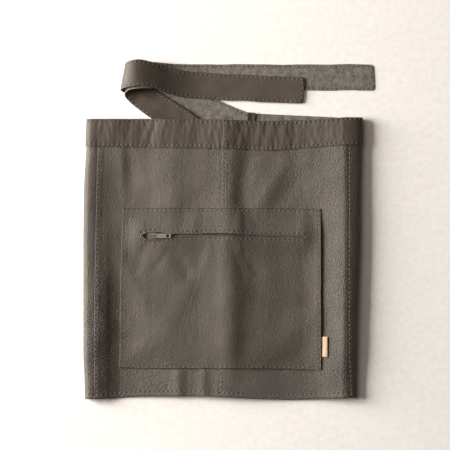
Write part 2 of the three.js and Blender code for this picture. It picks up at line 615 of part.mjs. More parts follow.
// The pull turns about a cross bar that passes under the slider's arch
const windowLength = ARCH_BAR + 3.3;
const pullFrame = new THREE.Group();
pullFrame.name = 'pull_frame';
pullFrame.position.set(ARCH_LENGTH / 2 - ARCH_BAR - 1.1, 0, axisHeight);
zipFrame.add(pullFrame);
const pullStart = -PULL_DEPTH / 2;
const pullEnd = PULL_LENGTH + pullStart;
const pullPlate = roundedPlate(pullStart, pullEnd, PULL_WIDTH, -PULL_DEPTH / 2, PULL_DEPTH / 2, 1.4);
const pullWindow = block(PULL_DEPTH / 2, PULL_DEPTH / 2 + windowLength, ARCH_WIDTH + 0.8, -PULL_DEPTH, PULL_DEPTH);
const holeTube = new THREE.CylinderGeometry(PULL_HOLE / 2, PULL_HOLE / 2, 2 * PULL_DEPTH, 20);
const pullHole = solidFrom(holeTube.rotateX(Math.PI / 2).translate(pullEnd - 4, 0, 0));
place('zip_pull', meshOf(pullPlate.subtract(pullWindow).subtract(pullHole)), metal(0xa8a398), pullFrame);

// Side label, tucked under the pocket's right edge, standing proud
function label() {
  const shares = [0, 0.2, 0.42, 0.6, 0.8, 1];
  const net = (away) => [0, 0.5, 1].map((t) => {
    const drop = LABEL_DROP + t * LABEL_HEIGHT;
    const down = drop / LENGTH;
    const edge = sideways('pocket_right', down);
    return shares.map((share) => {
      const x = edge - LABEL_TUCK + share * (LABEL_TUCK + LABEL_WIDTH);
      const proud = 0.7 * ease((x - edge) / 5);
      return new THREE.Vector3(x, -drop, relief(x, -drop, down) + 0.4 + proud + away);
    });
  });
  return solidOf(net(LABEL_DEPTH), net(0));
}
place('side_label', label(), leather(0xd9b892));

// Ties: one layer each, laid in a loop at the left and back over the
// top, from the wing's waistband end to the free end
function tie(stations) {
  const spots = [];
  for (let k = 0; k < stations.length - 1; k++) {
    const steps = k === 0 || stations[k + 1].across - stations[k].across > 0.1 ? 1 : 2;
    for (let s = 0; s < steps; s++) spots.push(k + s / steps);
  }
  spots.push(stations.length - 1);
  const curve = (key, spot) => {
    const k = Math.min(stations.length - 2, Math.floor(spot));
    const t = spot - k;
    const value = (a) => stations[Math.min(stations.length - 1, Math.max(0, a))][key];
    const [p0, p1, p2, p3] = [value(k - 1), value(k), value(k + 1), value(k + 2)];
    return p1 + 0.5 * t * (p2 - p0 + t * (2 * p0 - 5 * p1 + 4 * p2 - p3 + t * (3 * (p1 - p2) + p3 - p0)));
  };
  const at = (spot) => new THREE.Vector3(
    curve('across', spot) * WIDTH,
    curve('up', spot) * WIDTH,
    Math.max(LEATHER / 2, curve('lift', spot) * LOOP_HEIGHT),
  );
  const shares = [0.5, 0, -0.5];
  const net = (away) => shares.map((share) => spots.map((spot) => {
    const lean = THREE.MathUtils.degToRad(curve('lean', spot));
    const along = at(Math.min(stations.length - 1, spot + 0.2)).sub(at(Math.max(0, spot - 0.2)));
    const cross = new THREE.Vector3(Math.sin(lean), Math.cos(lean), 0);
    const out = along.clone().cross(cross).normalize();
    return at(spot).addScaledVector(cross, share * TIE_WIDTH).addScaledVector(out, away);
  }));
  return solidOf(net(LEATHER / 2), net(-LEATHER / 2));
}
place('tie_right', tie(TIE_RIGHT), leather(0x5d534a));
place('tie_left', tie(TIE_LEFT), leather(0x7a7067));

// The origin is on the floor, under the middle of the apron with its ties
const bounds = new THREE.Box3().setFromObject(apron);
const middle = bounds.getCenter(new THREE.Vector3());
apron.position.set(-middle.x, -middle.y, -bounds.min.z);

export default apron;
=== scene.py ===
# %% [markdown]
# # A leather waist apron, laid flat
# A waist apron is cut from a few flat hides and sewn: two front panels, two
# side panels, a waistband in two lengths, a patch pocket with a zip and two
# ties. This one lies on its side panels, which are folded round behind it.
# The lesson builds each piece as a thin closed sheet from one shared skin, so
# every layer follows the layer beneath it, and then stitches and finishes it.

# %% Load the frame
import math
import numpy as np
import bpy
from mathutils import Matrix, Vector


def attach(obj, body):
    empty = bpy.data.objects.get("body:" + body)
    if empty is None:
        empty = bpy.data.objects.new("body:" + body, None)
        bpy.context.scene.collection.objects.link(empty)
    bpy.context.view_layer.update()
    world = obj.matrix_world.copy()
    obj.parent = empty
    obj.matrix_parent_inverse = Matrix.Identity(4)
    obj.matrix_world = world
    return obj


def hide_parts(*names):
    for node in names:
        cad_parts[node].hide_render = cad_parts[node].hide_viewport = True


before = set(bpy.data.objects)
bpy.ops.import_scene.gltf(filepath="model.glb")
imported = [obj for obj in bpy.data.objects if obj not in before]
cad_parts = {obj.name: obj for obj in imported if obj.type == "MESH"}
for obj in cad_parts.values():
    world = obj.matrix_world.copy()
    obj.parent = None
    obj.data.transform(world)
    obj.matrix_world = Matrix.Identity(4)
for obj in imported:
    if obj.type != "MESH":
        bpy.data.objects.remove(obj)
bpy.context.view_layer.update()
print("parts in the frame:", len(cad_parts))

# %% [markdown]
# ## The camera, the floor and the light
# A flat-lay photograph is taken from straight above with a long lens, so the
# apron keeps its true outline. A low, wide window at the left grazes the hide:
# its folds show as soft light and dark bands, which a high light would lose.
# A weak light from above keeps the far sides of the folds from going black.

# %% Camera, floor and lights
MM = 0.001
PIXEL = 1.444 * MM
VIEW_WIDTH = 450 * PIXEL
CAMERA_HEIGHT, MID_HEIGHT, SENSOR = 3.0, 0.010, 36
VIEW_CENTRE = (-0.0062, 0.0073)
FLOOR_HALF = 3.0

camera_data = bpy.data.cameras.new("overhead_camera")
camera_data.sensor_width = SENSOR
camera_data.lens = SENSOR * (CAMERA_HEIGHT - MID_HEIGHT) / VIEW_WIDTH
camera = bpy.data.objects.new("overhead_camera", camera_data)
camera.location = (*VIEW_CENTRE, CAMERA_HEIGHT)
bpy.context.collection.objects.link(camera)
bpy.context.scene.camera = camera
bpy.context.scene.view_settings.view_transform = "Standard"


def add_area_light(name, place, size, watts, colour):
    """A rectangular light that faces the apron."""
    data = bpy.data.lights.new(name, "AREA")
    data.shape = "RECTANGLE"
    data.size, data.size_y = size
    data.energy = watts
    data.color = colour
    lamp = bpy.data.objects.new(name, data)
    lamp.location = place
    lamp.rotation_euler = (-Vector(place)).to_track_quat("-Z", "Y").to_euler()
    bpy.context.collection.objects.link(lamp)


add_area_light("window", (-3.3, 0.70, 1.24), (2.0, 2.2), 380, (1.0, 0.96, 0.915))
add_area_light("ceiling", (-0.8, 0.9, 1.9), (1.8, 1.8), 10, (1.0, 0.87, 0.74))

world = bpy.data.worlds.new("room")
world.use_nodes = True
background = world.node_tree.nodes["Background"]
background.inputs["Color"].default_value = (1.0, 0.86, 0.72, 1)
background.inputs["Strength"].default_value = 0.068
bpy.context.scene.world = world

floor_corners = [(x * FLOOR_HALF, y * FLOOR_HALF, 0) for x, y in ((-1, -1), (1, -1), (1, 1), (-1, 1))]
floor_mesh = bpy.data.meshes.new("floor")
floor_mesh.from_pydata(floor_corners, [], [(0, 1, 2, 3)])
floor = bpy.data.objects.new("floor", floor_mesh)
bpy.context.collection.objects.link(floor)
print("camera lens", round(camera_data.lens, 1), "mm, view", round(VIEW_WIDTH * 1000), "mm wide")

# %% [markdown]
# ## Sizes and tables
# Everything is in millimetres, measured from the middle of the waistband's
# upper edge, with X to the right and Y up. Short tables hold how each edge
# strays from a straight line and how high the leather lies, because no hide
# lies quite straight or flat.

# %% Sizes and tables
LENGTH = 404.5
LEATHER, GAP = 1.2, 0.3
BAND_WIDTH, PANEL_INSET, HEM, HEM_STEP = 41.4, 1.5, 10.0, 2.0
LEFT_CREST = 7.5
LEFT_WING_END, RIGHT_WING_END = -41.0, 37.0
LEFT_WING_TILT, LEFT_HEM_TILT = -0.032, 0.045
RIGHT_WING_TILT, RIGHT_TOP_TILT = 0.03, 0.018
POCKET_WIDTH, POCKET_HEIGHT, POCKET_DROP, POCKET_CENTRE = 289.0, 232.0, 129.0, -4.5
EDGE_LOFT, SIDE_LOFT, MID_LOFT, ZIP_LOFT, LOFT_RAMP = 0.35, 0.35, 2.2, 4.9, 44.0
ZIP_DROP, TAPE_REACH, TAPE, TAPE_DEPTH = 38.5, 11.5, 0.6, 1.6
SLOT_LEFT = POCKET_CENTRE - POCKET_WIDTH / 2 + 31.5
SLOT_RIGHT = POCKET_CENTRE + POCKET_WIDTH / 2 - 26.5
SLIDER_AT = SLOT_LEFT + 13.5
SLIDER_LENGTH, PULL_LENGTH = 13.0, 26.0
CHAIN_WIDTH = 6.0
LABEL_WIDTH, LABEL_TUCK, LABEL_HEIGHT, LABEL_DEPTH = 8.4, 5.0, 29.0, 1.0
LABEL_DROP = POCKET_DROP + POCKET_HEIGHT - 46.5
TIE_WIDTH = 38.0
ORIGIN = np.array([-6.90, 160.46, 0.0])

# How far each edge that runs down strays, in mm, from top to hem
DOWN = [0, 0.104, 0.254, 0.436, 0.618, 0.825, 1]
STRAIGHT = {
    "left_edge": -200, "left_seam": -187, "pocket_left": -149, "centre": -4,
    "pocket_right": 140, "right_crest": 174, "right_seam": 177, "right_edge": 200,
}
BOWS = {
    "left_edge": [1.6, 0.3, -3, -3.9, -3.9, -3.9, -1.7],
    "left_seam": [4.8, 4.2, 2.2, 0.7, -0.7, -1.4, -0.7],
    "pocket_left": [3.9, 3.6, 2.9, 0, -1.9, -2.6, -3.3],
    "centre": [1.8, 0.8, 0.2, -0.2, -0.8, -1.5, -2.5],
    "pocket_right": [-1.4, -1.3, -1, 0.3, 0.3, 0.3, 0.3],
    "right_crest": [-1.4, -1.4, 0, 0, -0.7, -2.9, -3.6],
    "right_seam": [-0.2, -0.2, 0.2, -0.2, -0.4, 0.2, 2.8],
    "right_edge": [-1.6, -1.7, -2.9, -3.6, -6.1, -8.1, -8.7],
}
# How far each edge that runs across strays upward, in mm, left to right
SPOTS = [-200, -108, -40, -3.6, 62.8, 94, 136, 198]
DROPS = {
    "band_top": 0, "band_bottom": BAND_WIDTH, "pocket_top": POCKET_DROP,
    "zip": POCKET_DROP + ZIP_DROP, "pocket_bottom": POCKET_DROP + POCKET_HEIGHT,
    "hem": LENGTH,
}
WAVES = {
    "band_top": [0, 0, -0.4, -1.2, -2.8, -2, -0.5, 3.2],
    "band_bottom": [1.7, 0.3, -0.7, -1.4, -3.8, -2.4, 1, 4.6],
    "pocket_top": [0.6, 0.4, 0.2, 0, -0.3, -0.5, -1, -1],
    "zip": [-1.6, -1.2, 0.8, 0.9, -2, -2.2, -2.6, -2.6],
    "pocket_bottom": [2.6, 0.4, 0.2, 0.6, -0.2, -0.8, -2, -2],
    "hem": [0, 3.4, 3.8, 2.4, -0.8, -1.4, 0.2, 2.8],
}
# How high the leather lies, in mm: one row for each level down the apron,
# one column for each place across it
PLACES = [-197.6, -184, -172, -162, -150, -136, -112, -90, -76, -40, -18,
          6, 30, 44, 56, 94, 110, 120, 138, 156, 166, 176]
RELIEF = {
    0.000: [12.6, 12.6, 12.5, 12.2, 11.5, 10.1, 8.9, 10.5, 10.7, 9.6, 10.1,
            11.2, 9.6, 8.8, 8.3, 7.6, 8.2, 9.0, 11.2, 13.6, 14.6, 15.2],
    0.104: [13.6, 12.8, 11.9, 11.4, 10.9, 9.6, 8.8, 10.5, 10.9, 9.8, 10.4,
            11.9, 9.4, 8.7, 8.3, 7.6, 8.1, 8.8, 11.0, 13.9, 15.5, 16.5],
    0.254: [14.4, 13.0, 11.0, 9.4, 8.6, 8.2, 8.6, 10.0, 10.3, 9.7, 10.4,
            12.4, 9.0, 8.7, 8.7, 7.6, 7.6, 8.2, 10.7, 14.3, 16.5, 17.6],
    0.436: [14.8, 13.6, 11.4, 9.3, 8.1, 7.4, 7.8, 8.8, 9.1, 9.0, 10.4,
            13.4, 10.3, 8.9, 8.2, 6.8, 6.7, 7.3, 10.0, 14.2, 17.0, 18.4],
    0.647: [14.8, 14.4, 11.6, 7.4, 5.3, 5.3, 6.4, 7.4, 7.8, 8.2, 10.2,
            13.8, 10.1, 8.6, 7.9, 6.2, 6.0, 6.7, 9.7, 14.0, 17.0, 18.4],
    0.807: [14.8, 13.9, 10.7, 6.7, 4.3, 4.1, 5.3, 6.6, 7.2, 7.8, 10.0,
            12.9, 9.6, 8.6, 8.0, 6.4, 6.2, 6.9, 9.8, 13.8, 16.4, 17.6],
    1.000: [13.4, 12.7, 9.6, 6.0, 3.7, 3.8, 4.9, 5.9, 6.5, 6.8, 7.9,
            10.1, 8.8, 7.7, 6.9, 4.4, 4.3, 4.7, 7.2, 11.4, 13.5, 14.4],
}
# The main folds, where the solid part has them too: from x1, y1 to x2, y2,
# with the half width and the lift in mm
FOLDS = [
    (37, -45, 22, -118, 11, -1.2), (88, -62, 50, -122, 11, 1.1), (100, -95, 74, -124, 11, -0.9),
    (-76, -60, -76, -200, 15, 0.3), (-139, -50, -133, -90, 9, -0.6), (-67, -370, -66, -402, 9, 1.7),
    (-31, -370, -30, -402, 8, 1.5), (-75, -196, -58, -224, 8, -0.8), (30, -196, 46, -222, 8, -0.7),
]
# Half of the zip slot's opening along its length, in mm
SLOT = [
    (-125, 1.2), (-117.5, 2.2), (-110, 4.7), (-98, 4.7), (-76, 1.9), (-56, 0.6),
    (-34, 0.7), (-14, 1.7), (12, 1.5), (30, 0.6), (114, 0.5),
]
# Where each tie's middle line runs: x, y, height and lean of its cross line
TIE_RIGHT = [
    (35, -10.8, 0.6, 2), (28, -7.7, 0.6, 9), (10.8, -1.6, 0.6, 15), (-18, 10.6, 0.6, 20),
    (-64.2, 28.3, 0.6, 21), (-107.6, 44.2, 0.6, 21), (-127.8, 51.6, 1.0, 19), (-140.1, 56.6, 4.0, 15),
    (-146, 60.2, 11.5, 11), (-141.5, 63.4, 19.5, 6), (-130.7, 65.4, 23.6, 0), (-117.7, 66, 22.5, -4),
    (-100.4, 62.2, 17.5, -3), (-77.2, 54.4, 9.5, 0), (-51.3, 49.8, 4.2, 2), (-20.9, 47.6, 2.7, 3),
    (44, 44.6, 2.5, 3), (114.8, 41.2, 2.6, 4.5),
]
TIE_LEFT = [
    (-40.2, -25.7, 0.6, 2), (-34.4, -25.7, 1.0, 9), (-30.3, -24.6, 3.24, 16), (-33.6, -23, 5.57, 20),
    (-44, -17.5, 5.57, 30), (-57, -8.8, 4.92, 34), (-72, 1.3, 4.56, 34), (-93.2, 15.7, 3.48, 34),
    (-111.9, 28.4, 2.2, 34), (-124.2, 38.1, 2.8, 31), (-134.3, 47.6, 6.5, 25), (-137.5, 54.2, 11.5, 19),
    (-132.8, 60.0, 17, 11), (-120.6, 62.4, 19.8, 4), (-101.8, 62.4, 15.5, 0), (-80.2, 61.6, 8.6, 0),
    (-55.6, 60.8, 3, 0), (-28.2, 60.6, 0.9, 0), (15.2, 60.5, 0.6, 0), (109, 60.5, 0.6, 0),
    (216.9, 60.5, 0.6, -3),
]


def smooth_line(xs, ys, x):
    """A smooth line through a few heights, level at each peak and end."""
    xs, ys, x = np.asarray(xs, float), np.asarray(ys, float), np.asarray(x, float)
    x = np.clip(x, xs[0], xs[-1])
    step = np.diff(xs)
    rise = np.diff(ys) / step
    slope = np.zeros(len(xs))
    same = rise[:-1] * rise[1:] > 0
    slope[1:-1][same] = 2 * rise[:-1][same] * rise[1:][same] / (rise[:-1][same] + rise[1:][same])
    k = np.clip(np.searchsorted(xs, x, side="right") - 1, 0, len(xs) - 2)
    t = (x - xs[k]) / step[k]
    s = 1 - t
    return (ys[k] * s * s * (1 + 2 * t) + ys[k + 1] * t * t * (3 - 2 * t)
            + step[k] * t * s * (s * slope[k] - t * slope[k + 1]))


def ease(t):
    """A soft step from 0 to 1."""
    t = np.clip(t, 0, 1)
    return t * t * (3 - 2 * t)


def unit(arrows):
    return arrows / np.linalg.norm(arrows, axis=-1, keepdims=True)


def sideways(name, down):
    return STRAIGHT[name] + smooth_line(DOWN, BOWS[name], down)


def level(name, x):
    return -DROPS[name] + smooth_line(SPOTS, WAVES[name], x)


def slot_half(x):
    return smooth_line([row[0] for row in SLOT], [row[1] for row in SLOT], x)


def strokes(rows, x, y):
    """Soft ridges and dents, each along a straight run."""
    total = np.zeros(np.broadcast(x, y).shape)
    for x1, y1, x2, y2, half, lift in rows:
        dx, dy = x2 - x1, y2 - y1
        t = np.clip(((x - x1) * dx + (y - y1) * dy) / (dx * dx + dy * dy), 0, 1)
        away = ((x - x1 - t * dx) ** 2 + (y - y1 - t * dy) ** 2) / half**2
        total = total + lift * np.exp(-away)
    return total


LEVELS = list(RELIEF)
HEIGHTS = np.array(list(RELIEF.values())).T


def relief(x, y, down):
    """Height of the leather: the table's heights with the main folds."""
    heights = [smooth_line(LEVELS, column, down) for column in HEIGHTS]
    left, right = sideways("left_edge", down) + LEFT_CREST, sideways("right_crest", down)
    return smooth_line([left, *PLACES[1:-1], right], heights, x) + strokes(FOLDS, x, y)


def waves(seed, x, y, longest, shortest, count=48):
    """Gentle unevenness of a hide: many small plane waves, mixed."""
    rng = np.random.default_rng(seed)
    total = np.zeros(np.broadcast(x, y).shape)
    for _ in range(count):
        span = shortest * (longest / shortest) ** rng.random()
        turn = rng.random() * 2 * math.pi
        phase = rng.random() * 2 * math.pi
        across = x * math.cos(turn) + y * math.sin(turn)
        total = total + np.sin(across * 2 * math.pi / span + phase)
    return total / math.sqrt(count)


print("tables ready:", len(RELIEF), "levels,", len(FOLDS), "main folds")

# %% [markdown]
# ## One skin for every layer
# The outer skin runs from the left side panel's end, round the left fold,
# across the front, round the right fold and back underneath. Each piece is
# cut out of this net of points and pushed in or out along its normal, which
# is how leather layers lie on each other: parallel, with nothing between.
# The finer folds that a hide keeps from handling are pressed into it first.

# %% Lines of the net
EDGE_STEP, FEW_STEPS = 0.35, 4
columns = []
column_at = {}


def shares_of(steps, fine):
    """Even steps from one line of the net to the next, finer at the ends."""
    shares = [k / steps for k in range(1, steps + 1)]
    if fine:
        shares = sorted(set(shares + [EDGE_STEP / steps, 1 - EDGE_STEP / steps]))
    return shares


def between(a, b, share):
    return lambda down: (1 - share) * a(down) + share * b(down)


def add_columns(name, steps, place, fine=False):
    if columns:
        last = columns[-1]
        columns.extend([between(last, place, share) for share in shares_of(steps, fine)])
    else:
        columns.append(place)
    column_at[name] = len(columns) - 1


add_columns("left_seam", 1, lambda d: sideways("left_seam", d))
add_columns("pocket_left", 22, lambda d: sideways("pocket_left", d), fine=True)
add_columns("slot_left", 18, lambda d: SLOT_LEFT, fine=True)
add_columns("slider", 13, lambda d: SLIDER_AT + SLIDER_LENGTH / 2 + 1)
add_columns("pull", 12, lambda d: SLIDER_AT + PULL_LENGTH + 3)
add_columns("centre", 42, lambda d: sideways("centre", d), fine=True)
add_columns("slot_right", 68, lambda d: SLOT_RIGHT, fine=True)
add_columns("pocket_right", 15, lambda d: sideways("pocket_right", d), fine=True)
add_columns("right_crest", 20, lambda d: sideways("right_crest", d))
add_columns("right_seam", 2, lambda d: sideways("right_seam", d), fine=True)

LINES = {
    "band_top": lambda x: level("band_top", x),
    "panel_top": lambda x: level("band_top", x) - PANEL_INSET,
    "band_bottom": lambda x: level("band_bottom", x),
    "pocket_top": lambda x: level("pocket_top", x),
    "tape_top": lambda x: level("zip", x) + TAPE_REACH,
    "slot_top": lambda x: level("zip", x) + slot_half(x),
    "slot_bottom": lambda x: level("zip", x) - slot_half(x),
    "tape_bottom": lambda x: level("zip", x) - TAPE_REACH,
    "pocket_bottom": lambda x: level("pocket_bottom", x),
    "hem_step": lambda x: level("hem", x) + HEM + HEM_STEP,
    "hem_turn": lambda x: level("hem", x) + HEM,
    "hem_edge": lambda x: level("hem", x),
}
zip_down = DROPS["zip"] / LENGTH
ROW_PLAN = [
    ("band_top", 1, 0),
    ("panel_top", 1, PANEL_INSET / LENGTH),
    ("band_bottom", 24, BAND_WIDTH / LENGTH),
    ("pocket_top", 52, POCKET_DROP / LENGTH),
    ("tape_top", 16, zip_down - TAPE_REACH / LENGTH),
    ("slot_top", 6, zip_down),
    ("slot_bottom", 2, zip_down),
    ("tape_bottom", 6, zip_down + TAPE_REACH / LENGTH),
    ("pocket_bottom", 107, DROPS["pocket_bottom"] / LENGTH),
    ("hem_step", 18, 1 - (HEM + HEM_STEP) / LENGTH),
    ("hem_turn", 1, 1 - HEM / LENGTH),
    ("hem_edge", 6, 1),
]
rows = []
row_at = {}
for name, steps, down in ROW_PLAN:
    if not rows:
        rows.append((down, name, name, 1.0))
    else:
        start, above = rows[-1][0], rows[-1][2]
        for share in shares_of(steps, steps > FEW_STEPS):
            rows.append(((1 - share) * start + share * down, above, name, share))
    row_at[name] = len(rows) - 1


def row_height(row, x):
    down, above, below, share = row
    return (1 - share) * LINES[above](x) + share * LINES[below](x)


STRIP_STEPS, TURN_STEPS, WING_STEPS = 6, 30, 26


def wing_tilt(left, down):
    """Slant of a side panel where it runs behind the front."""
    if left:
        return (1 - down) * LEFT_WING_TILT + down * LEFT_HEM_TILT
    return RIGHT_WING_TILT + RIGHT_TOP_TILT * (1 - down)


def wing_points(side, row, r):
    """One row from the front's outer seam, round the fold and behind."""
    down = row[0]
    left = side < 0
    edge = sideways("left_edge" if left else "right_edge", down)
    crest = edge + LEFT_CREST if left else sideways("right_crest", down)
    seam = sideways("left_seam" if left else "right_seam", down)
    end = LEFT_WING_END if left else RIGHT_WING_END
    y = float(row_height(row, crest))
    top = float(relief(crest, y, down))
    bottom = GAP + LEATHER if r <= row_at["band_bottom"] else 0.0
    reach = abs(edge - crest)
    points = []
    if left:
        start = math.pi / 2
        for k in range(1, STRIP_STEPS):
            x = seam + (crest - seam) * k / STRIP_STEPS
            height = float(row_height(row, x))
            points.append((x, height, float(relief(x, height, down))))
    else:
        start = math.acos(min(1, max(0, (seam - crest) / reach)))
    first = 0 if left else 1
    for k in range(first, TURN_STEPS + 1):
        turn = start + (-math.pi / 2 - start) * k / TURN_STEPS
        z = bottom + (top - bottom) * (1 + math.sin(turn)) / 2
        points.append((crest + side * reach * math.cos(turn), y, z))
    for k in range(1, WING_STEPS + 1):
        x = crest + (end - crest) * k / WING_STEPS
        points.append((x, y + wing_tilt(left, down) * abs(x - crest), bottom))
    return points


def front_points(row):
    down = row[0]
    x = np.array([float(column(down)) for column in columns])
    y = row_height(row, x)
    z = relief(x, y, down)
    crest, edge = sideways("right_crest", down), sideways("right_edge", down)
    top = float(relief(crest, float(row_height(row, crest)), down))
    beyond = x > crest
    z[beyond] = (top / 2) * (1 + np.sqrt(1 - ((x[beyond] - crest) / (edge - crest)) ** 2))
    return np.stack([x, y, z], 1).tolist()


skin = np.array([
    wing_points(-1, row, r)[::-1] + front_points(row) + wing_points(1, row, r)
    for r, row in enumerate(rows)
])
WING_COLS = len(wing_points(-1, rows[5], 5))
print("skin:", skin.shape[0], "rows by", skin.shape[1], "columns")


def normals_of(net):
    return unit(np.cross(np.gradient(net, axis=0), np.gradient(net, axis=1)))


# %% Press the finer folds into the skin
COL = {name: WING_COLS + place for name, place in column_at.items()}
ROW = row_at
FADE_COLUMNS, BAND_FADE = 14, 8
# How strongly each kind of unevenness shows
SLOW_WAVE, SHORT_WAVE, HANDLED, PUCKERED, RIPPLE = 0.30, 0.05, 0.75, 0.6, 0.17
# Soft handling folds on the panels, in mm: ends, half width, lift
HANDLING = [
    (-148, -52, -146, -110, 7, 0.6), (118, -48, 116, -66, 9, 0.6), (-41, -134, -44, -158, 7, 0.8),
    (22, -136, 19, -160, 6, 1.0), (115, -134, 112, -158, 9, 1.1), (-60, -134, -63, -156, 7, -0.5),
    (-78, -182, -98, -214, 6, -0.9), (-68, -184, -52, -222, 7, -0.9), (10, -182, 26, -224, 7, -0.9),
    (-116, -186, -128, -222, 7, -0.8), (-20, -190, -34, -226, 8, 0.7), (-150, -200, -120, -260, 10, 0.9),
    (-176, -262, -150, -300, 8, -0.8), (-60, -250, -80, -300, 14, 0.6), (40, -260, 30, -330, 16, -0.7),
    (110, -250, 96, -300, 14, 0.6), (100, -330, 60, -345, 14, 0.6), (-120, -330, -90, -345, 14, 0.6),
]
# The waistband is eased onto the panels, so it puckers between its two
# rows of stitches: place along the band, slant, half width and lift in mm
PUCKERS = [
    (-166, 10, 5, 0.7), (-152, 12, 4, -0.6), (-143, 12, 5, -0.8), (-129, 8, 6, 0.5), (-112, 14, 5, 0.5),
    (-104, 12, 3, -0.5), (-92, 12, 6, 0.8), (-78, 9, 4, -0.4), (-64, 8, 6, -0.4), (-50, 8, 4, 0.3),
    (-38, 9, 4, -0.4), (-20, 10, 5, 0.6), (-8, 2, 4, 0.5), (8, 10, 4, 0.7), (21, 12, 3, -0.7),
    (42, 8, 9, -0.8), (36, 10, 4, -0.2), (48, 10, 5, 0.6), (57, 10, 3, -0.4), (66, 12, 4, 0.5),
    (76, 10, 3, -0.4), (88, 8, 5, 0.6), (101, 8, 3, -0.4), (112, 8, 5, 0.5), (133, 6, 5, 0.4),
]

base_out = normals_of(skin)
X, Y = skin[..., 0], skin[..., 1]
column_numbers = np.arange(skin.shape[1])[None, :]
from_wing = column_numbers - WING_COLS + FADE_COLUMNS
to_wing = COL["right_seam"] + FADE_COLUMNS - column_numbers
on_front = ease(from_wing / FADE_COLUMNS) * ease(to_wing / FADE_COLUMNS)
below_top = level("band_top", X) - Y
below_band = level("band_bottom", X) - Y
in_band = ease(below_top / BAND_FADE + 0.25) * ease(-below_band / BAND_FADE + 0.35)

push = SLOW_WAVE * waves(3, X, Y, 90, 34) + SHORT_WAVE * waves(5, X, Y, 20, 9)
push = push + HANDLED * strokes(HANDLING, X, Y)
pucker = np.zeros_like(push)
for at, slant, half, lift in PUCKERS:
    middle = at + slant * (0.5 - below_top / BAND_WIDTH)
    pucker += PUCKERED * lift * np.exp(-(((X - middle) / half) ** 2))
pucker += RIPPLE * waves(8, X * 2.2, Y * 0.6, 28, 10)
push = push * (1 - 0.5 * in_band) + pucker * in_band
skin = skin + base_out * (push * on_front)[..., None]
out = normals_of(skin)
print("handling folds:", len(HANDLING), "puckers:", len(PUCKERS))

# %% [markdown]
# ## Leather, suede, thread and metal
# Finished hide has a pebbled grain: small round cells a millimetre or two
# wide with fine creases between them, a soft sheen and slow changes of tone.
# Its back is suede, with a short nap that takes no gloss at all. Turned edges
# are painted darker, and the same dark colour is laid as painted shade on some
# rims, in the zip slot and on the tie join. Raw edges are paler, and the metal
# is worn dull. The grain, the nap and the wear are node groups, so that pieces
# can share them.

# %% Node helpers


def node(tree, kind, **values):
    made = tree.nodes.new(kind)
    for key, value in values.items():
        if key in made.inputs:
            made.inputs[key].default_value = value
        else:
            setattr(made, key, value)
    return made


def noise(tree, place, scale, detail, rough=0.5):
    made = node(tree, "ShaderNodeTexNoise", Scale=scale, Detail=detail, Roughness=rough)
    tree.links.new(place, made.inputs["Vector"])
    return made.outputs


def map_range(tree, value, low, high, to_low, to_high):
    made = tree.nodes.new("ShaderNodeMapRange")
    limits = {"From Min": low, "From Max": high, "To Min": to_low, "To Max": to_high}
    for title, limit in limits.items():
        made.inputs[title].default_value = limit
    tree.links.new(value, made.inputs["Value"])
    return made.outputs["Result"]


def scaled(tree, vector, share):
    made = node(tree, "ShaderNodeVectorMath", operation="SCALE")
    tree.links.new(vector, made.inputs[0])
    tree.links.new(share, made.inputs["Scale"])
    return made.outputs[0]


def ramp(tree, value, *stops):
    made = tree.nodes.new("ShaderNodeValToRGB")
    for element, (position, colour) in zip(made.color_ramp.elements, stops):
        element.position = position
        element.color = (*colour, 1)
    tree.links.new(value, made.inputs["Fac"])
    return made.outputs["Color"]


def bump_into(shader, tree, height, strength, depth):
    made = node(tree, "ShaderNodeBump", Strength=strength, Distance=depth)
    tree.links.new(height, made.inputs["Height"])
    tree.links.new(made.outputs["Normal"], shader.inputs["Normal"])


print("node helpers ready")

# %% Surface groups


def surface_group(name):
    """A node group that takes a Scale and gives a Height and a Tone."""
    group = bpy.data.node_groups.new(name, "ShaderNodeTree")
    for title in ("Height", "Tone"):
        group.interface.new_socket(title, in_out="OUTPUT", socket_type="NodeSocketFloat")
    group.interface.new_socket("Scale", in_out="INPUT", socket_type="NodeSocketFloat")
    scale = group.nodes.new("NodeGroupInput").outputs["Scale"]
    place = group.nodes.new("ShaderNodeTexCoord").outputs["Object"]
    return group, scaled(group, place, scale), group.nodes.new("NodeGroupOutput").inputs


def grain_group():
    group, place, result = surface_group("pebbled_grain")
    link = group.links.new
    bent = node(group, "ShaderNodeMixRGB", blend_type="LINEAR_LIGHT", Fac=0.22)
    link(place, bent.inputs["Color1"])
    link(noise(group, place, 0.35, 2.0)["Color"], bent.inputs["Color2"])
    bent = bent.outputs["Color"]
    cells = node(group, "ShaderNodeTexVoronoi", feature="SMOOTH_F1", Scale=1.0, Smoothness=0.4)
    link(bent, cells.inputs["Vector"])
    pebble = node(group, "ShaderNodeMath", operation="MULTIPLY_ADD")
    pebble.inputs[1].default_value = -1.0
    link(cells.outputs["Distance"], pebble.inputs[0])
    link(noise(group, bent, 2.6, 3.0, 0.6)["Fac"], pebble.inputs[2])
    link(pebble.outputs[0], result["Height"])
    link(noise(group, place, 0.035, 4.0, 0.55)["Fac"], result["Tone"])
    return group


def nap_group():
    group, place, result = surface_group("suede_nap")
    group.links.new(noise(group, place, 1.0, 5.0, 0.7)["Fac"], result["Height"])
    group.links.new(noise(group, place, 0.26, 6.0, 0.7)["Fac"], result["Tone"])
    return group


def wear_group():
    group, place, result = surface_group("metal_wear")
    scratches = noise(group, place, 1.0, 4.0, 0.65)["Fac"]
    group.links.new(scratches, result["Height"])
    group.links.new(scratches, result["Tone"])
    return group


GRAIN, NAP, WEAR = grain_group(), nap_group(), wear_group()
print("surface groups:", [group.name for group in bpy.data.node_groups])

# %% Leather, suede and thread


def surfaced(name, group, scale):
    """A new material with one surface group in it."""
    material = bpy.data.materials.new(name)
    material.use_nodes = True
    tree = material.node_tree
    surface = node(tree, "ShaderNodeGroup", node_tree=group)
    surface.inputs["Scale"].default_value = scale
    return material, tree, tree.nodes["Principled BSDF"], surface.outputs


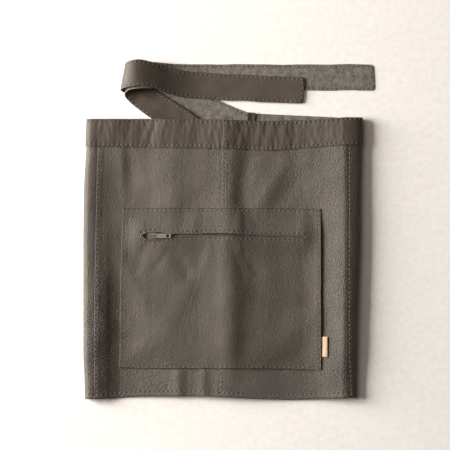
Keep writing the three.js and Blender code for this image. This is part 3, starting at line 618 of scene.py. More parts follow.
HEIGHTS_SHOWN = (-0.4, 0.6)


def hide_material(name, group, scale, dark, light, roughness, bump, depth, sheen=0.0, specular=0.5):
    material, tree, shader, surface = surfaced(name, group, scale)
    shader.inputs["Sheen Weight"].default_value = sheen
    shader.inputs["Sheen Roughness"].default_value = 0.5
    shader.inputs["Specular IOR Level"].default_value = specular
    tone = ramp(tree, surface["Tone"], (0.3, dark), (0.7, light))
    # Painted shade and highlight: the base colour is darker in the hollows of the small relief and
    # lighter on its tops
    crease_shade_and_top_light = map_range(tree, surface["Height"], *HEIGHTS_SHOWN, 0.78, 1.12)
    tree.links.new(scaled(tree, tone, crease_shade_and_top_light), shader.inputs["Base Color"])
    rough, smooth = min(1.0, roughness + 0.08), roughness - 0.05
    shine = map_range(tree, surface["Height"], *HEIGHTS_SHOWN, rough, smooth)
    tree.links.new(shine, shader.inputs["Roughness"])
    bump_into(shader, tree, surface["Height"], bump, depth)
    return material


grain_leather = hide_material(
    "grain_leather", GRAIN, 580, (0.063, 0.049, 0.036), (0.087, 0.068, 0.050),
    0.50, 0.95, 0.00062, specular=0.8)
pocket_leather = hide_material(
    "pocket_leather", GRAIN, 580, (0.057, 0.045, 0.033), (0.078, 0.061, 0.044),
    0.50, 0.95, 0.00060, specular=0.7)
smooth_leather = hide_material(
    "smooth_leather", GRAIN, 700, (0.067, 0.053, 0.040), (0.090, 0.071, 0.054),
    0.52, 0.45, 0.0007)
suede = hide_material(
    "suede", NAP, 460, (0.082, 0.074, 0.065), (0.245, 0.221, 0.198),
    0.95, 1.0, 0.0015, sheen=0.25, specular=0.15)
# Dark edge paint on turned edges, also laid as painted shade on some rims, on the zip slot's walls and
# on the tie join
edge_paint_and_shade = hide_material(
    "edge_paint_and_shade", GRAIN, 640, (0.030, 0.025, 0.020), (0.045, 0.037, 0.030),
    0.55, 0.4, 0.0008)
cut_edge = hide_material(
    "cut_edge", NAP, 1200, (0.125, 0.108, 0.090), (0.180, 0.158, 0.134),
    0.9, 0.5, 0.0008, specular=0.2)
label_leather = hide_material(
    "label_leather", GRAIN, 900, (0.60, 0.40, 0.25), (0.72, 0.50, 0.34),
    0.55, 0.25, 0.0005)
tape_weave = hide_material(
    "tape_weave", NAP, 1500, (0.075, 0.085, 0.062), (0.12, 0.13, 0.10),
    0.9, 0.6, 0.0006, specular=0.2)
thread = hide_material(
    "thread", NAP, 2500, (0.135, 0.118, 0.099), (0.190, 0.168, 0.142),
    0.75, 0.4, 0.0004)
floor_paint = hide_material(
    "floor_paint", NAP, 120, (0.86, 0.845, 0.825), (0.885, 0.87, 0.85),
    0.9, 0.12, 0.0008, specular=0.1)
floor.data.materials.append(floor_paint)
print("soft materials:", len(bpy.data.materials))

# %% Worn metal
# Painted shade round a hole: how far it stays fully dark, where it has faded out, and its darkest share
HOLE_RIM, HOLE_SHADE_FADES, HOLE_SHADE_TONE = 1.8 * MM, 2.6 * MM, 0.06


def metal_material(name, colour, roughness, hole=None):
    """Worn metal, with near-black painted shade round a hole where it has one, which makes the hole look
    larger.
    """
    material, tree, shader, surface = surfaced(name, WEAR, 900.0)
    link = tree.links.new
    shader.inputs["Metallic"].default_value = 1.0
    worn = [c * 0.6 for c in colour]
    tone = ramp(tree, surface["Tone"], (0.35, worn), (0.65, colour))
    # Painted shade: near-black close to the hole, fading out further away
    if hole is not None:
        away = node(tree, "ShaderNodeVectorMath", operation="DISTANCE")
        away.inputs[1].default_value = hole
        link(tree.nodes.new("ShaderNodeTexCoord").outputs["Object"], away.inputs[0])
        hole_shade = map_range(tree, away.outputs["Value"], HOLE_RIM, HOLE_SHADE_FADES, HOLE_SHADE_TONE, 1.0)
        tone = scaled(tree, tone, hole_shade)
    link(tone, shader.inputs["Base Color"])
    rub = map_range(tree, surface["Height"], 0.0, 1.0, roughness - 0.1, roughness + 0.2)
    link(rub, shader.inputs["Roughness"])
    bump_into(shader, tree, surface["Height"], 0.2, 0.0003)
    return material


zip_metal = metal_material("zip_metal", (0.42, 0.40, 0.36), 0.28)
print("materials:", len(bpy.data.materials))

# %% [markdown]
# ## Sheets
# A piece of leather is a closed sheet: a grain side, a suede side and a cut
# edge all round. The helper below joins two nets of points into such a sheet
# and gives each side its own material.

# %% Sheet helpers


def put(name, vertices, faces, materials, kinds):
    mesh = bpy.data.meshes.new(name)
    points = (np.asarray(vertices, float) + ORIGIN) * MM
    mesh.from_pydata(points.tolist(), [], faces)
    for material in materials:
        mesh.materials.append(material)
    mesh.polygons.foreach_set("material_index", kinds)
    mesh.polygons.foreach_set("use_smooth", [True] * len(faces))
    mesh.update()
    mesh.set_sharp_from_angle(angle=math.radians(50))
    piece = bpy.data.objects.new(name, mesh)
    bpy.context.collection.objects.link(piece)
    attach(piece, "apron")
    return piece


def sheet_faces(shape, open_cells=None):
    """Faces of a closed sheet between two nets, with their kind."""
    n_rows, n_cols = shape
    count = n_rows * n_cols
    filled = np.ones((n_rows - 1, n_cols - 1), bool)
    if open_cells is not None:
        filled &= ~open_cells
    r, c = np.nonzero(filled)
    a = r * n_cols + c
    outer = np.stack([a, a + n_cols, a + n_cols + 1, a + 1], 1)
    inner = np.stack([a, a + 1, a + n_cols + 1, a + n_cols], 1) + count
    padded = np.pad(filled, 1)
    walls = []
    for dr, dc, first, second in ((0, -1, (0, 0), (1, 0)), (1, 0, (1, 0), (1, 1)),
                                  (0, 1, (1, 1), (0, 1)), (-1, 0, (0, 1), (0, 0))):
        edge = filled & ~padded[1 + dr:n_rows + dr, 1 + dc:n_cols + dc]
        wr, wc = np.nonzero(edge)
        p = (wr + first[0]) * n_cols + wc + first[1]
        q = (wr + second[0]) * n_cols + wc + second[1]
        walls.append(np.stack([p, p + count, q + count, q], 1))
    walls = np.concatenate(walls)
    faces = np.concatenate([outer, inner, walls])
    kinds = np.repeat([0, 1, 2], [len(outer), len(inner), len(walls)])
    return faces.tolist(), kinds.tolist()


def leather_sheet(name, outer, inner, sides, nodes, open_cells=None, paint_and_shade_cells=None):
    """A piece between two nets, with holes at the open cells of the net.

    The sides are the materials of the outer face, the inner face and the
    edges, and the last one also covers the chosen cells of the outer face,
    which it darkens as edge paint and painted shade.
    """
    faces, kinds = sheet_faces(outer.shape[:2], open_cells)
    if paint_and_shade_cells is not None:
        seen = paint_and_shade_cells if open_cells is None else paint_and_shade_cells[~open_cells]
        for k in np.nonzero(seen.ravel())[0]:
            kinds[k] = len(sides) - 1
    vertices = np.concatenate([outer.reshape(-1, 3), inner.reshape(-1, 3)])
    if open_cells is not None:
        used = sorted({v for face in faces for v in face})
        renumber = {old: new for new, old in enumerate(used)}
        vertices = vertices[used]
        faces = [[renumber[v] for v in face] for face in faces]
    piece = put(name, vertices, faces, sides, kinds)
    if nodes:
        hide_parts(*nodes)
    return piece


def no_cells(net):
    """No cell of a net chosen yet, for its open cells or its cells of edge paint and painted shade."""
    return np.zeros((net.shape[0] - 1, net.shape[1] - 1), bool)


def flat_size(net):
    """Width and length of a net when it is laid out flat, in metres."""
    across = np.linalg.norm(np.diff(net, axis=1), axis=2).sum(1).mean() * MM
    down = np.linalg.norm(np.diff(net, axis=0), axis=2).sum(0).mean() * MM
    return across, down


def cut(r0, r1, c0, c1, away, trim=(0, 0)):
    """A net cut from the skin and pushed out by "away" along its normal."""
    part = skin[r0:r1 + 1, c0:c1 + 1] + out[r0:r1 + 1, c0:c1 + 1] * np.asarray(away)[..., None]
    if trim[0]:
        part[:, 0] += unit(part[:, 1] - part[:, 0]) * trim[0]
    if trim[1]:
        part[:, -1] += unit(part[:, -2] - part[:, -1]) * trim[1]
    return part


def distance_along(net, axis, end):
    """Distance of each point from the first (0) or last (-1) line."""
    steps = np.linalg.norm(np.diff(net, axis=axis), axis=2)
    run = np.cumsum(steps, axis=axis)
    pad = np.zeros_like(np.take(run, [0], axis=axis))
    run = np.concatenate([pad, run], axis=axis)
    return run if end == 0 else np.take(run, [-1], axis=axis) - run


def run_of(points):
    """Distance of each point along a line from its first point."""
    return np.concatenate([[0], np.cumsum(np.linalg.norm(np.diff(points, axis=0), axis=1))])


print("sheet helpers ready")

# %% [markdown]
# ## Body panels
# Each seam is a lapped seam: the right-hand piece has its edge turned under
# and laid over the left-hand piece, then stitched close to the fold. So the
# right-hand edge stands a little proud and catches the window's light. The
# hem is turned up inside and stitched, which pulls its edge slightly thin.

# %% Body panels
PITCH = 6.6
LAP, LAP_STITCH, HEM_STITCH = 9, 3.2, 7.2
R_TOP, R_BAND, R_HEM, R_TURN = ROW["panel_top"], ROW["band_bottom"], ROW["hem_edge"], ROW["hem_turn"]
LAST = skin.shape[1] - 1
HALF_GAP = GAP / 2


def round_edge(distance, drop=0.45, reach=0.9):
    """How far the outer face rolls down towards a turned edge."""
    inward = 1 - np.clip(distance / reach, 0, 1)
    return drop * (1 - np.sqrt(np.clip(1 - inward**2, 0, 1)))


def seam_groove(distance, place=LAP_STITCH, half=1.5, depth=0.28):
    """How far a row of stitches draws the outer face in."""
    return depth * np.exp(-(((distance - place) / half) ** 2))


def turned_ridge(distance, rise):
    """How far an edge stands up over the layer turned under it."""
    return rise * ease((LAP - distance) / 5)


def panel(name, c0, c1, lap_left, trim, paint_and_shade_left=False):
    base = skin[R_TOP:R_HEM + 1, c0:c1 + 1]
    from_left = distance_along(base, 1, 0)
    from_right = distance_along(base, 1, -1)
    from_hem = distance_along(base, 0, -1)
    outer = -0.12 * np.exp(-((from_hem / 5) ** 2)) - seam_groove(from_hem, HEM_STITCH)
    outer = outer + 0.45 * np.exp(-(((from_hem - 2.5) / 4) ** 2)) - round_edge(from_hem)
    if lap_left:
        outer = outer + turned_ridge(from_left, 0.5) - round_edge(from_left)
        outer = outer - seam_groove(from_left, LAP_STITCH, 1.4, 0.5)
    else:
        outer = outer - 0.1 * ease((3 - from_left) / 3)
    if trim[1]:
        outer = outer - 0.25 * ease((4 - from_right) / 4)
    layers = np.where(np.arange(R_TOP, R_HEM + 1) >= R_TURN, 2, 1)
    deep = -LEATHER * layers[:, None] + 0 * from_hem
    far = cut(R_TOP, R_HEM, c0, c1, outer, trim)
    near = cut(R_TOP, R_HEM, c0, c1, deep, trim)
    # On a lapped panel the first column of the outer face takes the dark edge material: edge paint with
    # painted shade along the seam
    paint_and_shade_cells = no_cells(far)
    paint_and_shade_cells[:, 0] = paint_and_shade_left
    sides = (grain_leather, suede, edge_paint_and_shade)
    piece = leather_sheet(name, far, near, sides, [name.removesuffix("_skin")], paint_and_shade_cells=paint_and_shade_cells)
    return far


LEFT_SEAM, CENTRE, RIGHT_SEAM = COL["left_seam"], COL["centre"], COL["right_seam"]
BOTH = (HALF_GAP, HALF_GAP)
panels = {
    "side_left": panel("side_panel_left_skin", 0, LEFT_SEAM, False, (0, HALF_GAP)),
    "front_left": panel("front_panel_left_skin", LEFT_SEAM, CENTRE, True, BOTH),
    "front_right": panel("front_panel_right_skin", CENTRE, RIGHT_SEAM, True, BOTH, True),
    "side_right": panel("side_panel_right_skin", RIGHT_SEAM, LAST, True, (HALF_GAP, 0), True),
}
print("panels:", {key: net.shape[:2] for key, net in panels.items()})

# %% [markdown]
# ## Waistband
# The band is one layer laid over the panels' upper edge, with a row of
# stitches close to each long edge. Its two lengths meet at the centre seam.

# %% Waistband
TOP_STITCH, LOW_STITCH = 3.4, 3.6


def band(name, c0, c1, lap_left, trim):
    base = skin[0:R_BAND + 1, c0:c1 + 1]
    from_top = distance_along(base, 0, 0)
    from_bottom = distance_along(base, 0, -1)
    from_left = distance_along(base, 1, 0)
    outer = GAP + LEATHER - round_edge(from_bottom, 0.35, 0.8) - round_edge(from_top, 0.35, 0.8)
    outer = outer - seam_groove(from_bottom, LOW_STITCH, 1.6, 0.3)
    outer = outer - seam_groove(from_top, TOP_STITCH, 1.6, 0.3)
    # Each stitch draws the leather in and lets it swell before the next
    drawn = np.exp(-(((from_bottom - 3.5) / 4.5) ** 2)) + np.exp(-(((from_top - 3.5) / 4.5) ** 2))
    outer = outer + 0.13 * drawn * (np.cos(from_left * 2 * math.pi / PITCH) - 0.5)
    if lap_left:
        outer = outer + turned_ridge(from_left, 0.9) - round_edge(from_left, 0.6, 1.2)
        outer = outer - seam_groove(from_left)
    far = cut(0, R_BAND, c0, c1, outer, trim)
    near = cut(0, R_BAND, c0, c1, GAP + 0 * outer, trim)
    # On the right length the first column takes the dark edge material: edge paint with painted shade
    # along the centre seam
    paint_and_shade_cells = no_cells(far)
    paint_and_shade_cells[:, 0] = lap_left
    sides = (smooth_leather, suede, cut_edge, edge_paint_and_shade)
    piece = leather_sheet(name + "_skin", far, near, sides, [name], paint_and_shade_cells=paint_and_shade_cells)
    return far


bands = {
    "left": band("waistband_left", 0, CENTRE, False, (0, HALF_GAP)),
    "right": band("waistband_right", CENTRE, LAST, True, (HALF_GAP, 0)),
}
print("waistband lengths:", [round(flat_size(net)[0] * 1000) for net in bands.values()], "mm")

# %% [markdown]
# ## Patch pocket
# The pocket is a flat patch with its edges turned under and stitched down
# all round. It stands off the panels where a hand goes in, and most of all
# over the zip, whose tapes are sewn under the lips of a slot.

# %% Room of the pocket
P_TOP, P_BOTTOM = ROW["pocket_top"], ROW["pocket_bottom"]
P_LEFT, P_RIGHT = COL["pocket_left"], COL["pocket_right"]
ZIP_HALF, ZIP_RAMP_LEFT, ZIP_RAMP_RIGHT = 21, 36, 24


def pocket_loft(r0, r1, c0, c1):
    """How far the pocket stands off the panels."""
    p = skin[r0:r1 + 1, c0:c1 + 1]
    x, y = p[..., 0], p[..., 1]
    down = np.array([row[0] for row in rows])[r0:r1 + 1, None]
    left = x - sideways("pocket_left", down)
    right = sideways("pocket_right", down) - x
    top = level("pocket_top", x) - y
    bottom = y - level("pocket_bottom", x)
    inside = np.minimum.reduce([ease(away / LOFT_RAMP) for away in (left, top, bottom)])
    room = EDGE_LOFT + (MID_LOFT - EDGE_LOFT) * inside
    side = SIDE_LOFT + (room - SIDE_LOFT) * ease(right / LOFT_RAMP) - room
    near_zip = np.exp(-(((y - level("zip", x)) / ZIP_HALF) ** 2))
    along = ease((left + 3) / ZIP_RAMP_LEFT) * ease((right - 4) / ZIP_RAMP_RIGHT)
    return np.maximum(room + side, room + (ZIP_LOFT - room) * near_zip * along)


loft = pocket_loft(P_TOP, P_BOTTOM, P_LEFT, P_RIGHT)
print("the pocket stands off by up to", round(float(loft.max()), 1), "mm")

# %% Patch pocket
PAINT_AND_SHADE_ROWS = 60
base = skin[P_TOP:P_BOTTOM + 1, P_LEFT:P_RIGHT + 1]
edges = [distance_along(base, axis, end) for axis, end in ((0, 0), (0, -1), (1, 0), (1, -1))]
nearest = np.minimum.reduce(edges)
base_x = base[..., 0]
in_slot_run = ease((base_x - SLOT_LEFT + 4) / 4) * ease((SLOT_RIGHT + 4 - base_x) / 4)
lip_away = np.abs(base[..., 1] - level("zip", base_x)) - slot_half(base_x)
lip_shape = round_edge(np.abs(lip_away), 0.4, 1.0) + seam_groove(np.abs(lip_away), 3.4, 1.5, 0.35)
outer = loft + LEATHER - round_edge(nearest, 0.5, 1.0) - seam_groove(nearest, 3.4, 1.4, 0.45)
outer = outer + turned_ridge(nearest, 0.35) * ease(edges[3] / 12)
outer = outer - in_slot_run * lip_shape
outer = outer + in_slot_run * 0.5 * np.exp(-((lip_away / 1.6) ** 2))
SLOT_TOP, SLOT_BOTTOM = ROW["slot_top"] - P_TOP, ROW["slot_bottom"] - P_TOP
SLOT_FROM, SLOT_TO = COL["slot_left"] - P_LEFT, COL["slot_right"] - P_LEFT
open_cells = no_cells(loft)
open_cells[SLOT_TOP:SLOT_BOTTOM, SLOT_FROM:SLOT_TO] = True
# Edge paint with painted shade: the top, bottom and right rims and the upper part of the left rim take
# the dark edge material, as do the walls of the zip slot
paint_and_shade_cells = no_cells(loft)
paint_and_shade_cells[[0, -1]] = True
paint_and_shade_cells[:, -1] = True
paint_and_shade_cells[:PAINT_AND_SHADE_ROWS, 0] = True
pocket_far = cut(P_TOP, P_BOTTOM, P_LEFT, P_RIGHT, outer)
pocket_near = cut(P_TOP, P_BOTTOM, P_LEFT, P_RIGHT, loft)
sides = (pocket_leather, suede, edge_paint_and_shade)
pocket = leather_sheet("pocket_skin", pocket_far, pocket_near, sides, ["pocket"], open_cells, paint_and_shade_cells)
print("pocket:", [round(v * 1000) for v in flat_size(pocket_far)], "mm")

# %% [markdown]
# ## Ties
# A tie is a long strip of one layer, stitched along both edges. Leather is
# springy, so where the ties turn back they stand up in a loop instead of
# folding flat. The right tie is the outer loop and the left tie the inner.

# %% Ties
CORNER, TIE_STEP, TIE_STITCH = 5.0, 1.9, 3.3


def along_stations(stations, spots, column):
    """A smooth curve through one column of the stations."""
    values = np.array([row[column] for row in stations], float)
    n = len(values)
    k = np.minimum(n - 2, np.floor(spots).astype(int))
    t = spots - k
    p0, p1, p2, p3 = (values[np.clip(k + shift, 0, n - 1)] for shift in (-1, 0, 1, 2))
    cubic = 3 * (p1 - p2) + p3 - p0
    return p1 + 0.5 * t * (p2 - p0 + t * (2 * p0 - 5 * p1 + 4 * p2 - p3 + t * cubic))


def middle_line(stations, spots):
    return np.stack([along_stations(stations, spots, k) for k in range(3)], 1)


def tie(name, stations, seed, grain_up, curl):
    """A strip along its stations; curl is where its edge lifts, how much and how far."""
    rough = np.linspace(0, len(stations) - 1, 40 * len(stations))
    run = run_of(middle_line(stations, rough))
    length = run[-1]
    spots = np.append(np.interp(np.arange(0, length, TIE_STEP), run, rough), rough[-1])
    line = middle_line(stations, spots)
    line[:, 2] = np.maximum(line[:, 2], LEATHER / 2)
    lean = np.radians(along_stations(stations, spots, 3))
    cross = np.stack([np.sin(lean), np.cos(lean), 0 * lean], 1)
    outward = unit(np.cross(np.gradient(line, axis=0), cross))
    shares = np.concatenate([[0.5, 0.49], np.linspace(0.5, -0.5, 23)[1:-1], [-0.49, -0.5]])
    here = np.interp(spots, rough, run)[None, :]
    from_end = np.minimum(length - here, CORNER)
    corner = CORNER - np.sqrt(np.clip(CORNER**2 - (CORNER - from_end) ** 2, 0, None))
    side = shares[:, None] * (TIE_WIDTH - 2 * corner)
    wobble = 0.35 * waves(seed, here, 0 * here, 90, 30, 12)
    lift = 0.22 * waves(seed + 1, here, 1.5 * side, 70, 18) * ease((line[:, 2] - 0.5) / 2)[None, :]
    turn_at = np.interp(curl[0], rough, run)
    low_side = np.clip(0.5 - side / TIE_WIDTH, 0, 1) ** 1.2
    rise = curl[1] * np.exp(-(((here - turn_at) / curl[2]) ** 2)) * low_side
    rim = np.minimum(TIE_WIDTH / 2 - corner - np.abs(side), length - here + 0 * side)
    pressed = round_edge(rim, 0.3, 0.7) + seam_groove(rim, 3.2, 1.4, 0.22)
    middle = line[None, :, :] + cross[None, :, :] * (side + wobble)[..., None]
    middle[..., 2] = np.maximum(middle[..., 2], LEATHER / 2) + rise
    up, under = (middle + outward[None, :, :] * (way * (LEATHER / 2 - pressed) + lift)[..., None]
                 for way in (1, -1))
    sides = (smooth_leather, suede, cut_edge) if grain_up else (suede, smooth_leather, cut_edge)
    piece = leather_sheet(name + "_strip", up, under, sides, [name])
    print(name, "length", round(length), "mm")
    return up, under


tie_nets = {
    "right": tie("tie_right", TIE_RIGHT, 21, True, (7, 3, 14)),
    "left": tie("tie_left", TIE_LEFT, 22, False, (7.6, 8.0, 45)),
}

# %% [markdown]
# Where the right tie is sewn to the waistband's end, the seam allowance is
# folded back over the suede and shows above the front band as a dark patch:
# its grain side, darkened further as painted shade.

# %% Tie join
FLAP_HEIGHT = 3.3


def join_flap():
    x, y = np.meshgrid(np.linspace(33.0, 44.5, 12), np.linspace(9.3, -14.0, 20))
    z = FLAP_HEIGHT + 0.8 * np.exp(-(((x - 34.5) / 2.2) ** 2)) + 0.5 * np.exp(-(((x - 43.5) / 2.0) ** 2))
    net = np.stack([x + 0.035 * y, y + 0.05 * (44 - x), z], -1)
    lift = normals_of(net) * LEATHER / 2
    # The flap's top takes the dark edge material: its grain side with painted shade
    sides = (edge_paint_and_shade, suede, cut_edge)
    piece = leather_sheet("tie_join_flap", net + lift, net - lift * 0.9, sides, [])
    print("join flap:", [round(v * 1000) for v in flat_size(net)], "mm")


join_flap()

# %% [markdown]
# ## Zip
# A coil zip is two woven tapes with a plastic spiral sewn along the edge of
# each. Closed, the two spirals mesh into one ribbed chain. The tapes are sewn
# behind the lips of the slot, so mostly a dark slit shows, with a little tape
# where the lips gape and the slider at the left end.

# %% Zip tapes
Z_FROM, Z_TO = COL["slot_left"] - 3, COL["slot_right"] + 1
TAPE_LOFT = pocket_loft(ROW["tape_top"], ROW["tape_bottom"], Z_FROM, Z_TO)
tape_net = cut(ROW["tape_top"], ROW["tape_bottom"], Z_FROM, Z_TO, TAPE_LOFT - TAPE_DEPTH)
mid_row = ROW["slot_top"] - ROW["tape_top"]
low_row = ROW["slot_bottom"] - ROW["tape_top"]
zip_line = 0.5 * (tape_net[mid_row] + tape_net[low_row])
zip_side = unit(tape_net[mid_row] - tape_net[low_row])


def zip_tape(name, edge_row, lip_row):
    """A tape from its outer edge to just short of the chain's middle."""
    edge, lip = tape_net[edge_row], tape_net[lip_row]
    reach = (TAPE_REACH - slot_half(lip[:, 0]))[:, None]
    inner = edge + (lip - edge) * (TAPE_REACH - 0.5) / reach
    shares = np.linspace(0.04, 1, 12)[:, None, None]
    net = edge[None] + (inner - edge)[None] * shares
    net[..., 2:] -= 0.6 * ease((shares - 0.66) / 0.1)
    if edge_row < 0:
        net = net[::-1]
    up = normals_of(net) * TAPE / 2
    piece = leather_sheet(name + "_strip", net + up, net - up, [tape_weave] * 3, [name])


zip_tape("zip_tape_upper", 0, mid_row)
zip_tape("zip_tape_lower", -1, low_row)
print("zip tapes:", round(flat_size(tape_net)[0] * 1000), "mm long")

# %% Zip coil
COIL_PITCH, COIL_WIRE = 1.3, 0.42
COIL_TURNS = (-150, -100, -50, 0, 50, 100, 150)
COIL_REACH, COIL_DEPTH = 1.55, 0.55
coil_plastic = hide_material(
    "coil_plastic", NAP, 1800, (0.055, 0.052, 0.042), (0.085, 0.08, 0.066),
    0.45, 0.15, 0.0002, specular=0.5)


def along_line(line, run, spots):
    return np.stack([np.interp(spots, run, line[:, k]) for k in range(3)], -1)


def tube(points, sides, ups, radius, corners=6):
    """Rings round each run of points: points has runs, stations, xyz."""
    turn = np.arange(corners) * 2 * math.pi / corners
    ring = sides[..., None, :] * np.cos(turn)[:, None] + ups[..., None, :] * np.sin(turn)[:, None]
    vertices = points[..., None, :] + ring * radius[..., None, None]
    runs, stations = points.shape[:2]
    base = (np.arange(runs)[:, None, None] * stations + np.arange(stations - 1)[None, :, None]) * corners
    k = np.arange(corners)[None, None, :]
    after = (k + 1) % corners
    quads = np.stack([base + k, base + after, base + corners + after, base + corners + k], -1)
    first = np.arange(runs)[:, None] * stations * corners + np.arange(corners)[None, ::-1]
    last = first + (stations - 1) * corners
    faces = quads.reshape(-1, 4).tolist() + first.tolist() + last[:, ::-1].tolist()
    return vertices.reshape(-1, 3), faces


def coil():
    run = run_of(zip_line)
    start = np.interp(SLIDER_AT - SLIDER_LENGTH / 2 + 4, zip_line[:, 0], run)
    spots = np.arange(start, run[-1] - 2, COIL_PITCH)
    turn = np.radians(np.array(COIL_TURNS))
    reach = 1.15 + COIL_REACH * -np.cos(turn)
    rise = 0.3 + COIL_DEPTH * np.sin(turn)
    vertices, faces = [], []
    for side_sign, shift in ((1, 0.0), (-1, COIL_PITCH / 2)):
        here = spots + shift
        middle = along_line(zip_line, run, here)
        side = along_line(zip_side, run, here) * side_sign
        ahead = unit(along_line(zip_line, run, here + 0.5) - middle)
        up = np.cross(ahead, side) * side_sign
        outward = (CHAIN_WIDTH / 2 - 2.1 - reach * 0.55)[None, :, None]
        points = middle[:, None] + side[:, None] * outward + up[:, None] * rise[None, :, None]
        first = np.broadcast_to(ahead[:, None], points.shape)
        second = np.cross(unit(np.gradient(points, axis=1)), first)
        got, quads = tube(points, first, second, np.full(points.shape[:2], COIL_WIRE))
        before = sum(len(part) for part in vertices)
        faces += [[v + before for v in quad] for quad in quads]
        vertices.append(got)
    piece = put("zip_coil", np.concatenate(vertices), faces, [coil_plastic], [0] * len(faces))
    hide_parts("zip_chain")
    print("coil turns:", 2 * len(spots))


coil()

# %% [markdown]
# The slider and its pull are cast zinc, hard pieces already in the frame.
# Tumbling rounds every edge, so each gets a small bevel and a worn satin
# metal. The pull's metal is a little brighter, which is painted light, and
# round its hole it is painted dark as shade.

# %% Slider and pull
PULL_HOLE = Vector((-0.0889, -0.0083, 0.0180))
WORN_EDGE = 0.28 * MM
hole_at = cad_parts["zip_pull"].matrix_world.inverted() @ PULL_HOLE
# The pull's colour is brighter than the slider's as painted light, and darkens round its hole as painted
# shade
pull_metal_with_painted_light = metal_material("pull_metal_with_painted_light", (0.60, 0.59, 0.54), 0.34, hole_at)
for name, material in (("zip_slider", zip_metal), ("zip_pull", pull_metal_with_painted_light)):
    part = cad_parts[name]
    part.data.materials.clear()
    part.data.materials.append(material)
    bevel = part.modifiers.new("worn_edges", "BEVEL")
    bevel.width = WORN_EDGE
    bevel.segments = 2
    bevel.limit_method = "ANGLE"
    bevel.angle_limit = math.radians(40)
print("pull hole at", [round(v * 1000, 1) for v in hole_at], "mm in the pull's own frame")

# %% [markdown]
# ## Side label
# A short strip of undyed leather is folded and caught under the pocket's
# right edge. It lifts a little where it leaves the pocket and at its fold.

# %% Side label


def side_label():
    shares = np.linspace(0, 1, 15)
    drops = LABEL_DROP + np.linspace(0, 1, 24) * LABEL_HEIGHT
    net = np.zeros((len(drops), len(shares), 3))
    for k, drop in enumerate(drops):
        down = drop / LENGTH
        edge = sideways("pocket_right", down)
        x = edge - LABEL_TUCK + shares * (LABEL_TUCK + LABEL_WIDTH)
        y = np.full_like(x, -drop)
        z = relief(x, y, down) + 0.4 + 0.7 * ease((x - edge) / 5)
        net[k] = np.stack([x, y, z], 1)
    rims = [distance_along(net, axis, end) for axis, end in ((0, 0), (0, -1), (1, -1))]
    rim = np.minimum.reduce(rims)
    up = normals_of(net)
    fold = 0.16 * np.exp(-(((net[..., 0] - net[:, -1:, 0] + 1.2) / 1.0) ** 2))
    top = LABEL_DEPTH + fold - round_edge(rim, 0.35, 0.6)
    far, near = net + up * top[..., None], net + up * 0.02
    piece = leather_sheet("side_label_strip", far, near, [label_leather] * 3, ["side_label"])
    print("label shows", LABEL_WIDTH, "by", LABEL_HEIGHT, "mm")


side_label()

# %% [markdown]
# ## Stitching
# Every seam is a lockstitch in a slightly lighter thread, about seven
# millimetres from hole to hole. The thread dives into the leather at each
# hole, so the row reads as small light dashes between dark pricks: each
# prick is a near-black disc of painted shade.

# %% Stitching helpers
DASH, THREAD, SLANT = 4.3, 0.44, 0.22
THREAD_SHARES = np.array([-1, -0.72, 0, 0.72, 1.0])
THREAD_RISE = np.array([-0.55, 0.1, 0.24, 0.1, -0.55])
THREAD_RADIUS = np.array([0.3, 0.42, THREAD, 0.42, 0.3])
HOLE_ACROSS, HOLE_ALONG, HOLE_CORNERS = 0.62, 1.15, 8
# Near-black discs of painted shade mark the needle holes
needle_hole_shade = hide_material(
    "needle_hole_shade", NAP, 900, (0.012, 0.010, 0.008), (0.020, 0.017, 0.014),
    0.95, 0.0, 0.0001, specular=0.05)


def seam_path(net, axis, end, inset):
    """Points and normals on a net at a fixed distance from one edge."""
    up = normals_of(net)
    if axis == 0:
        net, up = net.swapaxes(0, 1), up.swapaxes(0, 1)
    if end == -1:
        net, up = net[:, ::-1], up[:, ::-1]
    run = distance_along(net, 1, 0)
    k = np.clip((run < inset).sum(1) - 1, 0, net.shape[1] - 2)
    i = np.arange(len(net))
    t = ((inset - run[i, k]) / (run[i, k + 1] - run[i, k]))[:, None]
    return net[i, k] * (1 - t) + net[i, k + 1] * t, up[i, k] * (1 - t) + up[i, k + 1] * t


def directions(points, ups, run, spots):
    """Place, up, along and across at each spot of a seam."""
    up = unit(along_line(ups, run, spots))
    way = unit(along_line(points, run, spots + 0.3) - along_line(points, run, spots - 0.3))
    return along_line(points, run, spots), up, way, np.cross(up, way)


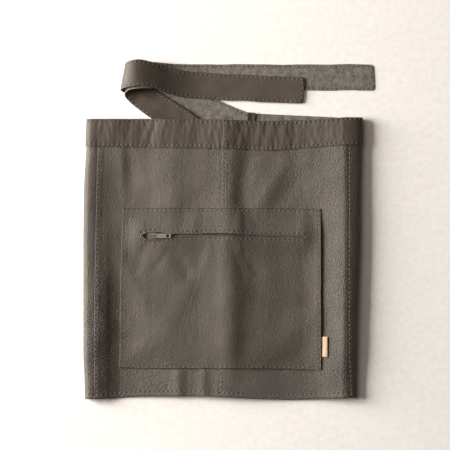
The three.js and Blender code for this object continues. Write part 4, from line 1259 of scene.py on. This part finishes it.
def sew(name, paths, seed):
    """One piece of all the stitches along some seams, with a disc of painted shade at each needle hole.
    """
    rng = np.random.default_rng(seed)
    vertices, faces, kinds = [], [], []
    count = 0
    for points, ups, start, stop in paths:
        run = run_of(points)
        number = int((run[-1] - start - stop) / PITCH)
        if number < 1:
            continue
        pitch = (run[-1] - start - stop) / number
        middle = start + pitch * (np.arange(number) + 0.5)
        middle = middle + rng.normal(0, 0.12, number)
        spots = middle[:, None] + THREAD_SHARES[None, :] * DASH / 2
        place, up, way, side = directions(points, ups, run, spots)
        slant = (SLANT + rng.normal(0, 0.06, number))[:, None, None] * THREAD_SHARES[None, :, None]
        place = place + up * THREAD_RISE[None, :, None] + side * slant
        got, quads = tube(place, side, up, np.broadcast_to(THREAD_RADIUS, place.shape[:2]))
        faces += [[v + count for v in quad] for quad in quads]
        kinds += [0] * len(quads)
        vertices.append(got)
        count += len(got)
        # Each needle hole gets a near-black disc just above the face: painted shade of the hole
        holes = start + pitch * np.arange(number + 1)
        place, up, way, side = directions(points, ups, run, holes)
        turn = np.arange(HOLE_CORNERS) * 2 * math.pi / HOLE_CORNERS
        across = side[:, None] * (HOLE_ACROSS * np.cos(turn))[None, :, None]
        along = way[:, None] * (HOLE_ALONG * np.sin(turn))[None, :, None]
        disc = place[:, None] + up[:, None] * 0.07 + across + along
        for k in range(len(holes)):
            faces.append([count + HOLE_CORNERS * k + v for v in range(HOLE_CORNERS - 1, -1, -1)])
        kinds += [1] * len(holes)
        vertices.append(disc.reshape(-1, 3))
        count += HOLE_CORNERS * len(holes)
    piece = put(name, np.concatenate(vertices), faces, [thread, needle_hole_shade], kinds)
    print(name, "stitches:", kinds.count(1))


def rows_of(net, edges, ends):
    """Seams on a net: axis, side and inset of each, with their two gaps."""
    return [(*seam_path(net, axis, end, inset), *ends) for axis, end, inset in edges]


print("a stitch every", PITCH, "mm")


# %% Stitching
body_rows = []
for key in ("front_left", "front_right", "side_right"):
    body_rows += rows_of(panels[key], [(1, 0, LAP_STITCH)], (BAND_WIDTH - 1, 2))
for net in panels.values():
    body_rows += rows_of(net, [(0, -1, HEM_STITCH)], (1, 1))
sew("body_stitches", body_rows, 31)

band_rows = []
for net in bands.values():
    band_rows += rows_of(net, [(0, 0, TOP_STITCH), (0, -1, LOW_STITCH)], (2, 2))
band_rows += rows_of(bands["right"], [(1, 0, LAP_STITCH)], (2, 2))
sew("band_stitches", band_rows, 32)

pocket_rows = rows_of(pocket_far, [(0, 0, 3.4), (0, -1, 3.6), (1, 0, 3.6), (1, -1, 3.8)], (3.6, 3.6))
upper_lip = pocket_far[:SLOT_TOP + 1, SLOT_FROM - 2:SLOT_TO + 3]
lower_lip = pocket_far[SLOT_BOTTOM:, SLOT_FROM - 2:SLOT_TO + 3]
pocket_rows += rows_of(upper_lip, [(0, -1, 4.6)], (0, 0)) + rows_of(lower_lip, [(0, 0, 4.6)], (0, 0))
lip_rows = slice(SLOT_TOP - 3, SLOT_BOTTOM + 4)
pocket_rows += rows_of(pocket_far[lip_rows, :SLOT_FROM + 1], [(1, -1, 3.4)], (0, 0))
pocket_rows += rows_of(pocket_far[lip_rows, SLOT_TO:], [(1, 0, 3.4)], (0, 0))
sew("pocket_stitches", pocket_rows, 33)

tie_rows = []
for up_net, under_net in tie_nets.values():
    for net, last in ((up_net, -1), (under_net[:, ::-1], 0)):
        tie_rows += rows_of(net, [(0, 0, TIE_STITCH), (0, -1, TIE_STITCH)], (4, 4))
        tie_rows += rows_of(net, [(1, last, 3.6)], (4, 4))
sew("tie_stitches", tie_rows, 34)
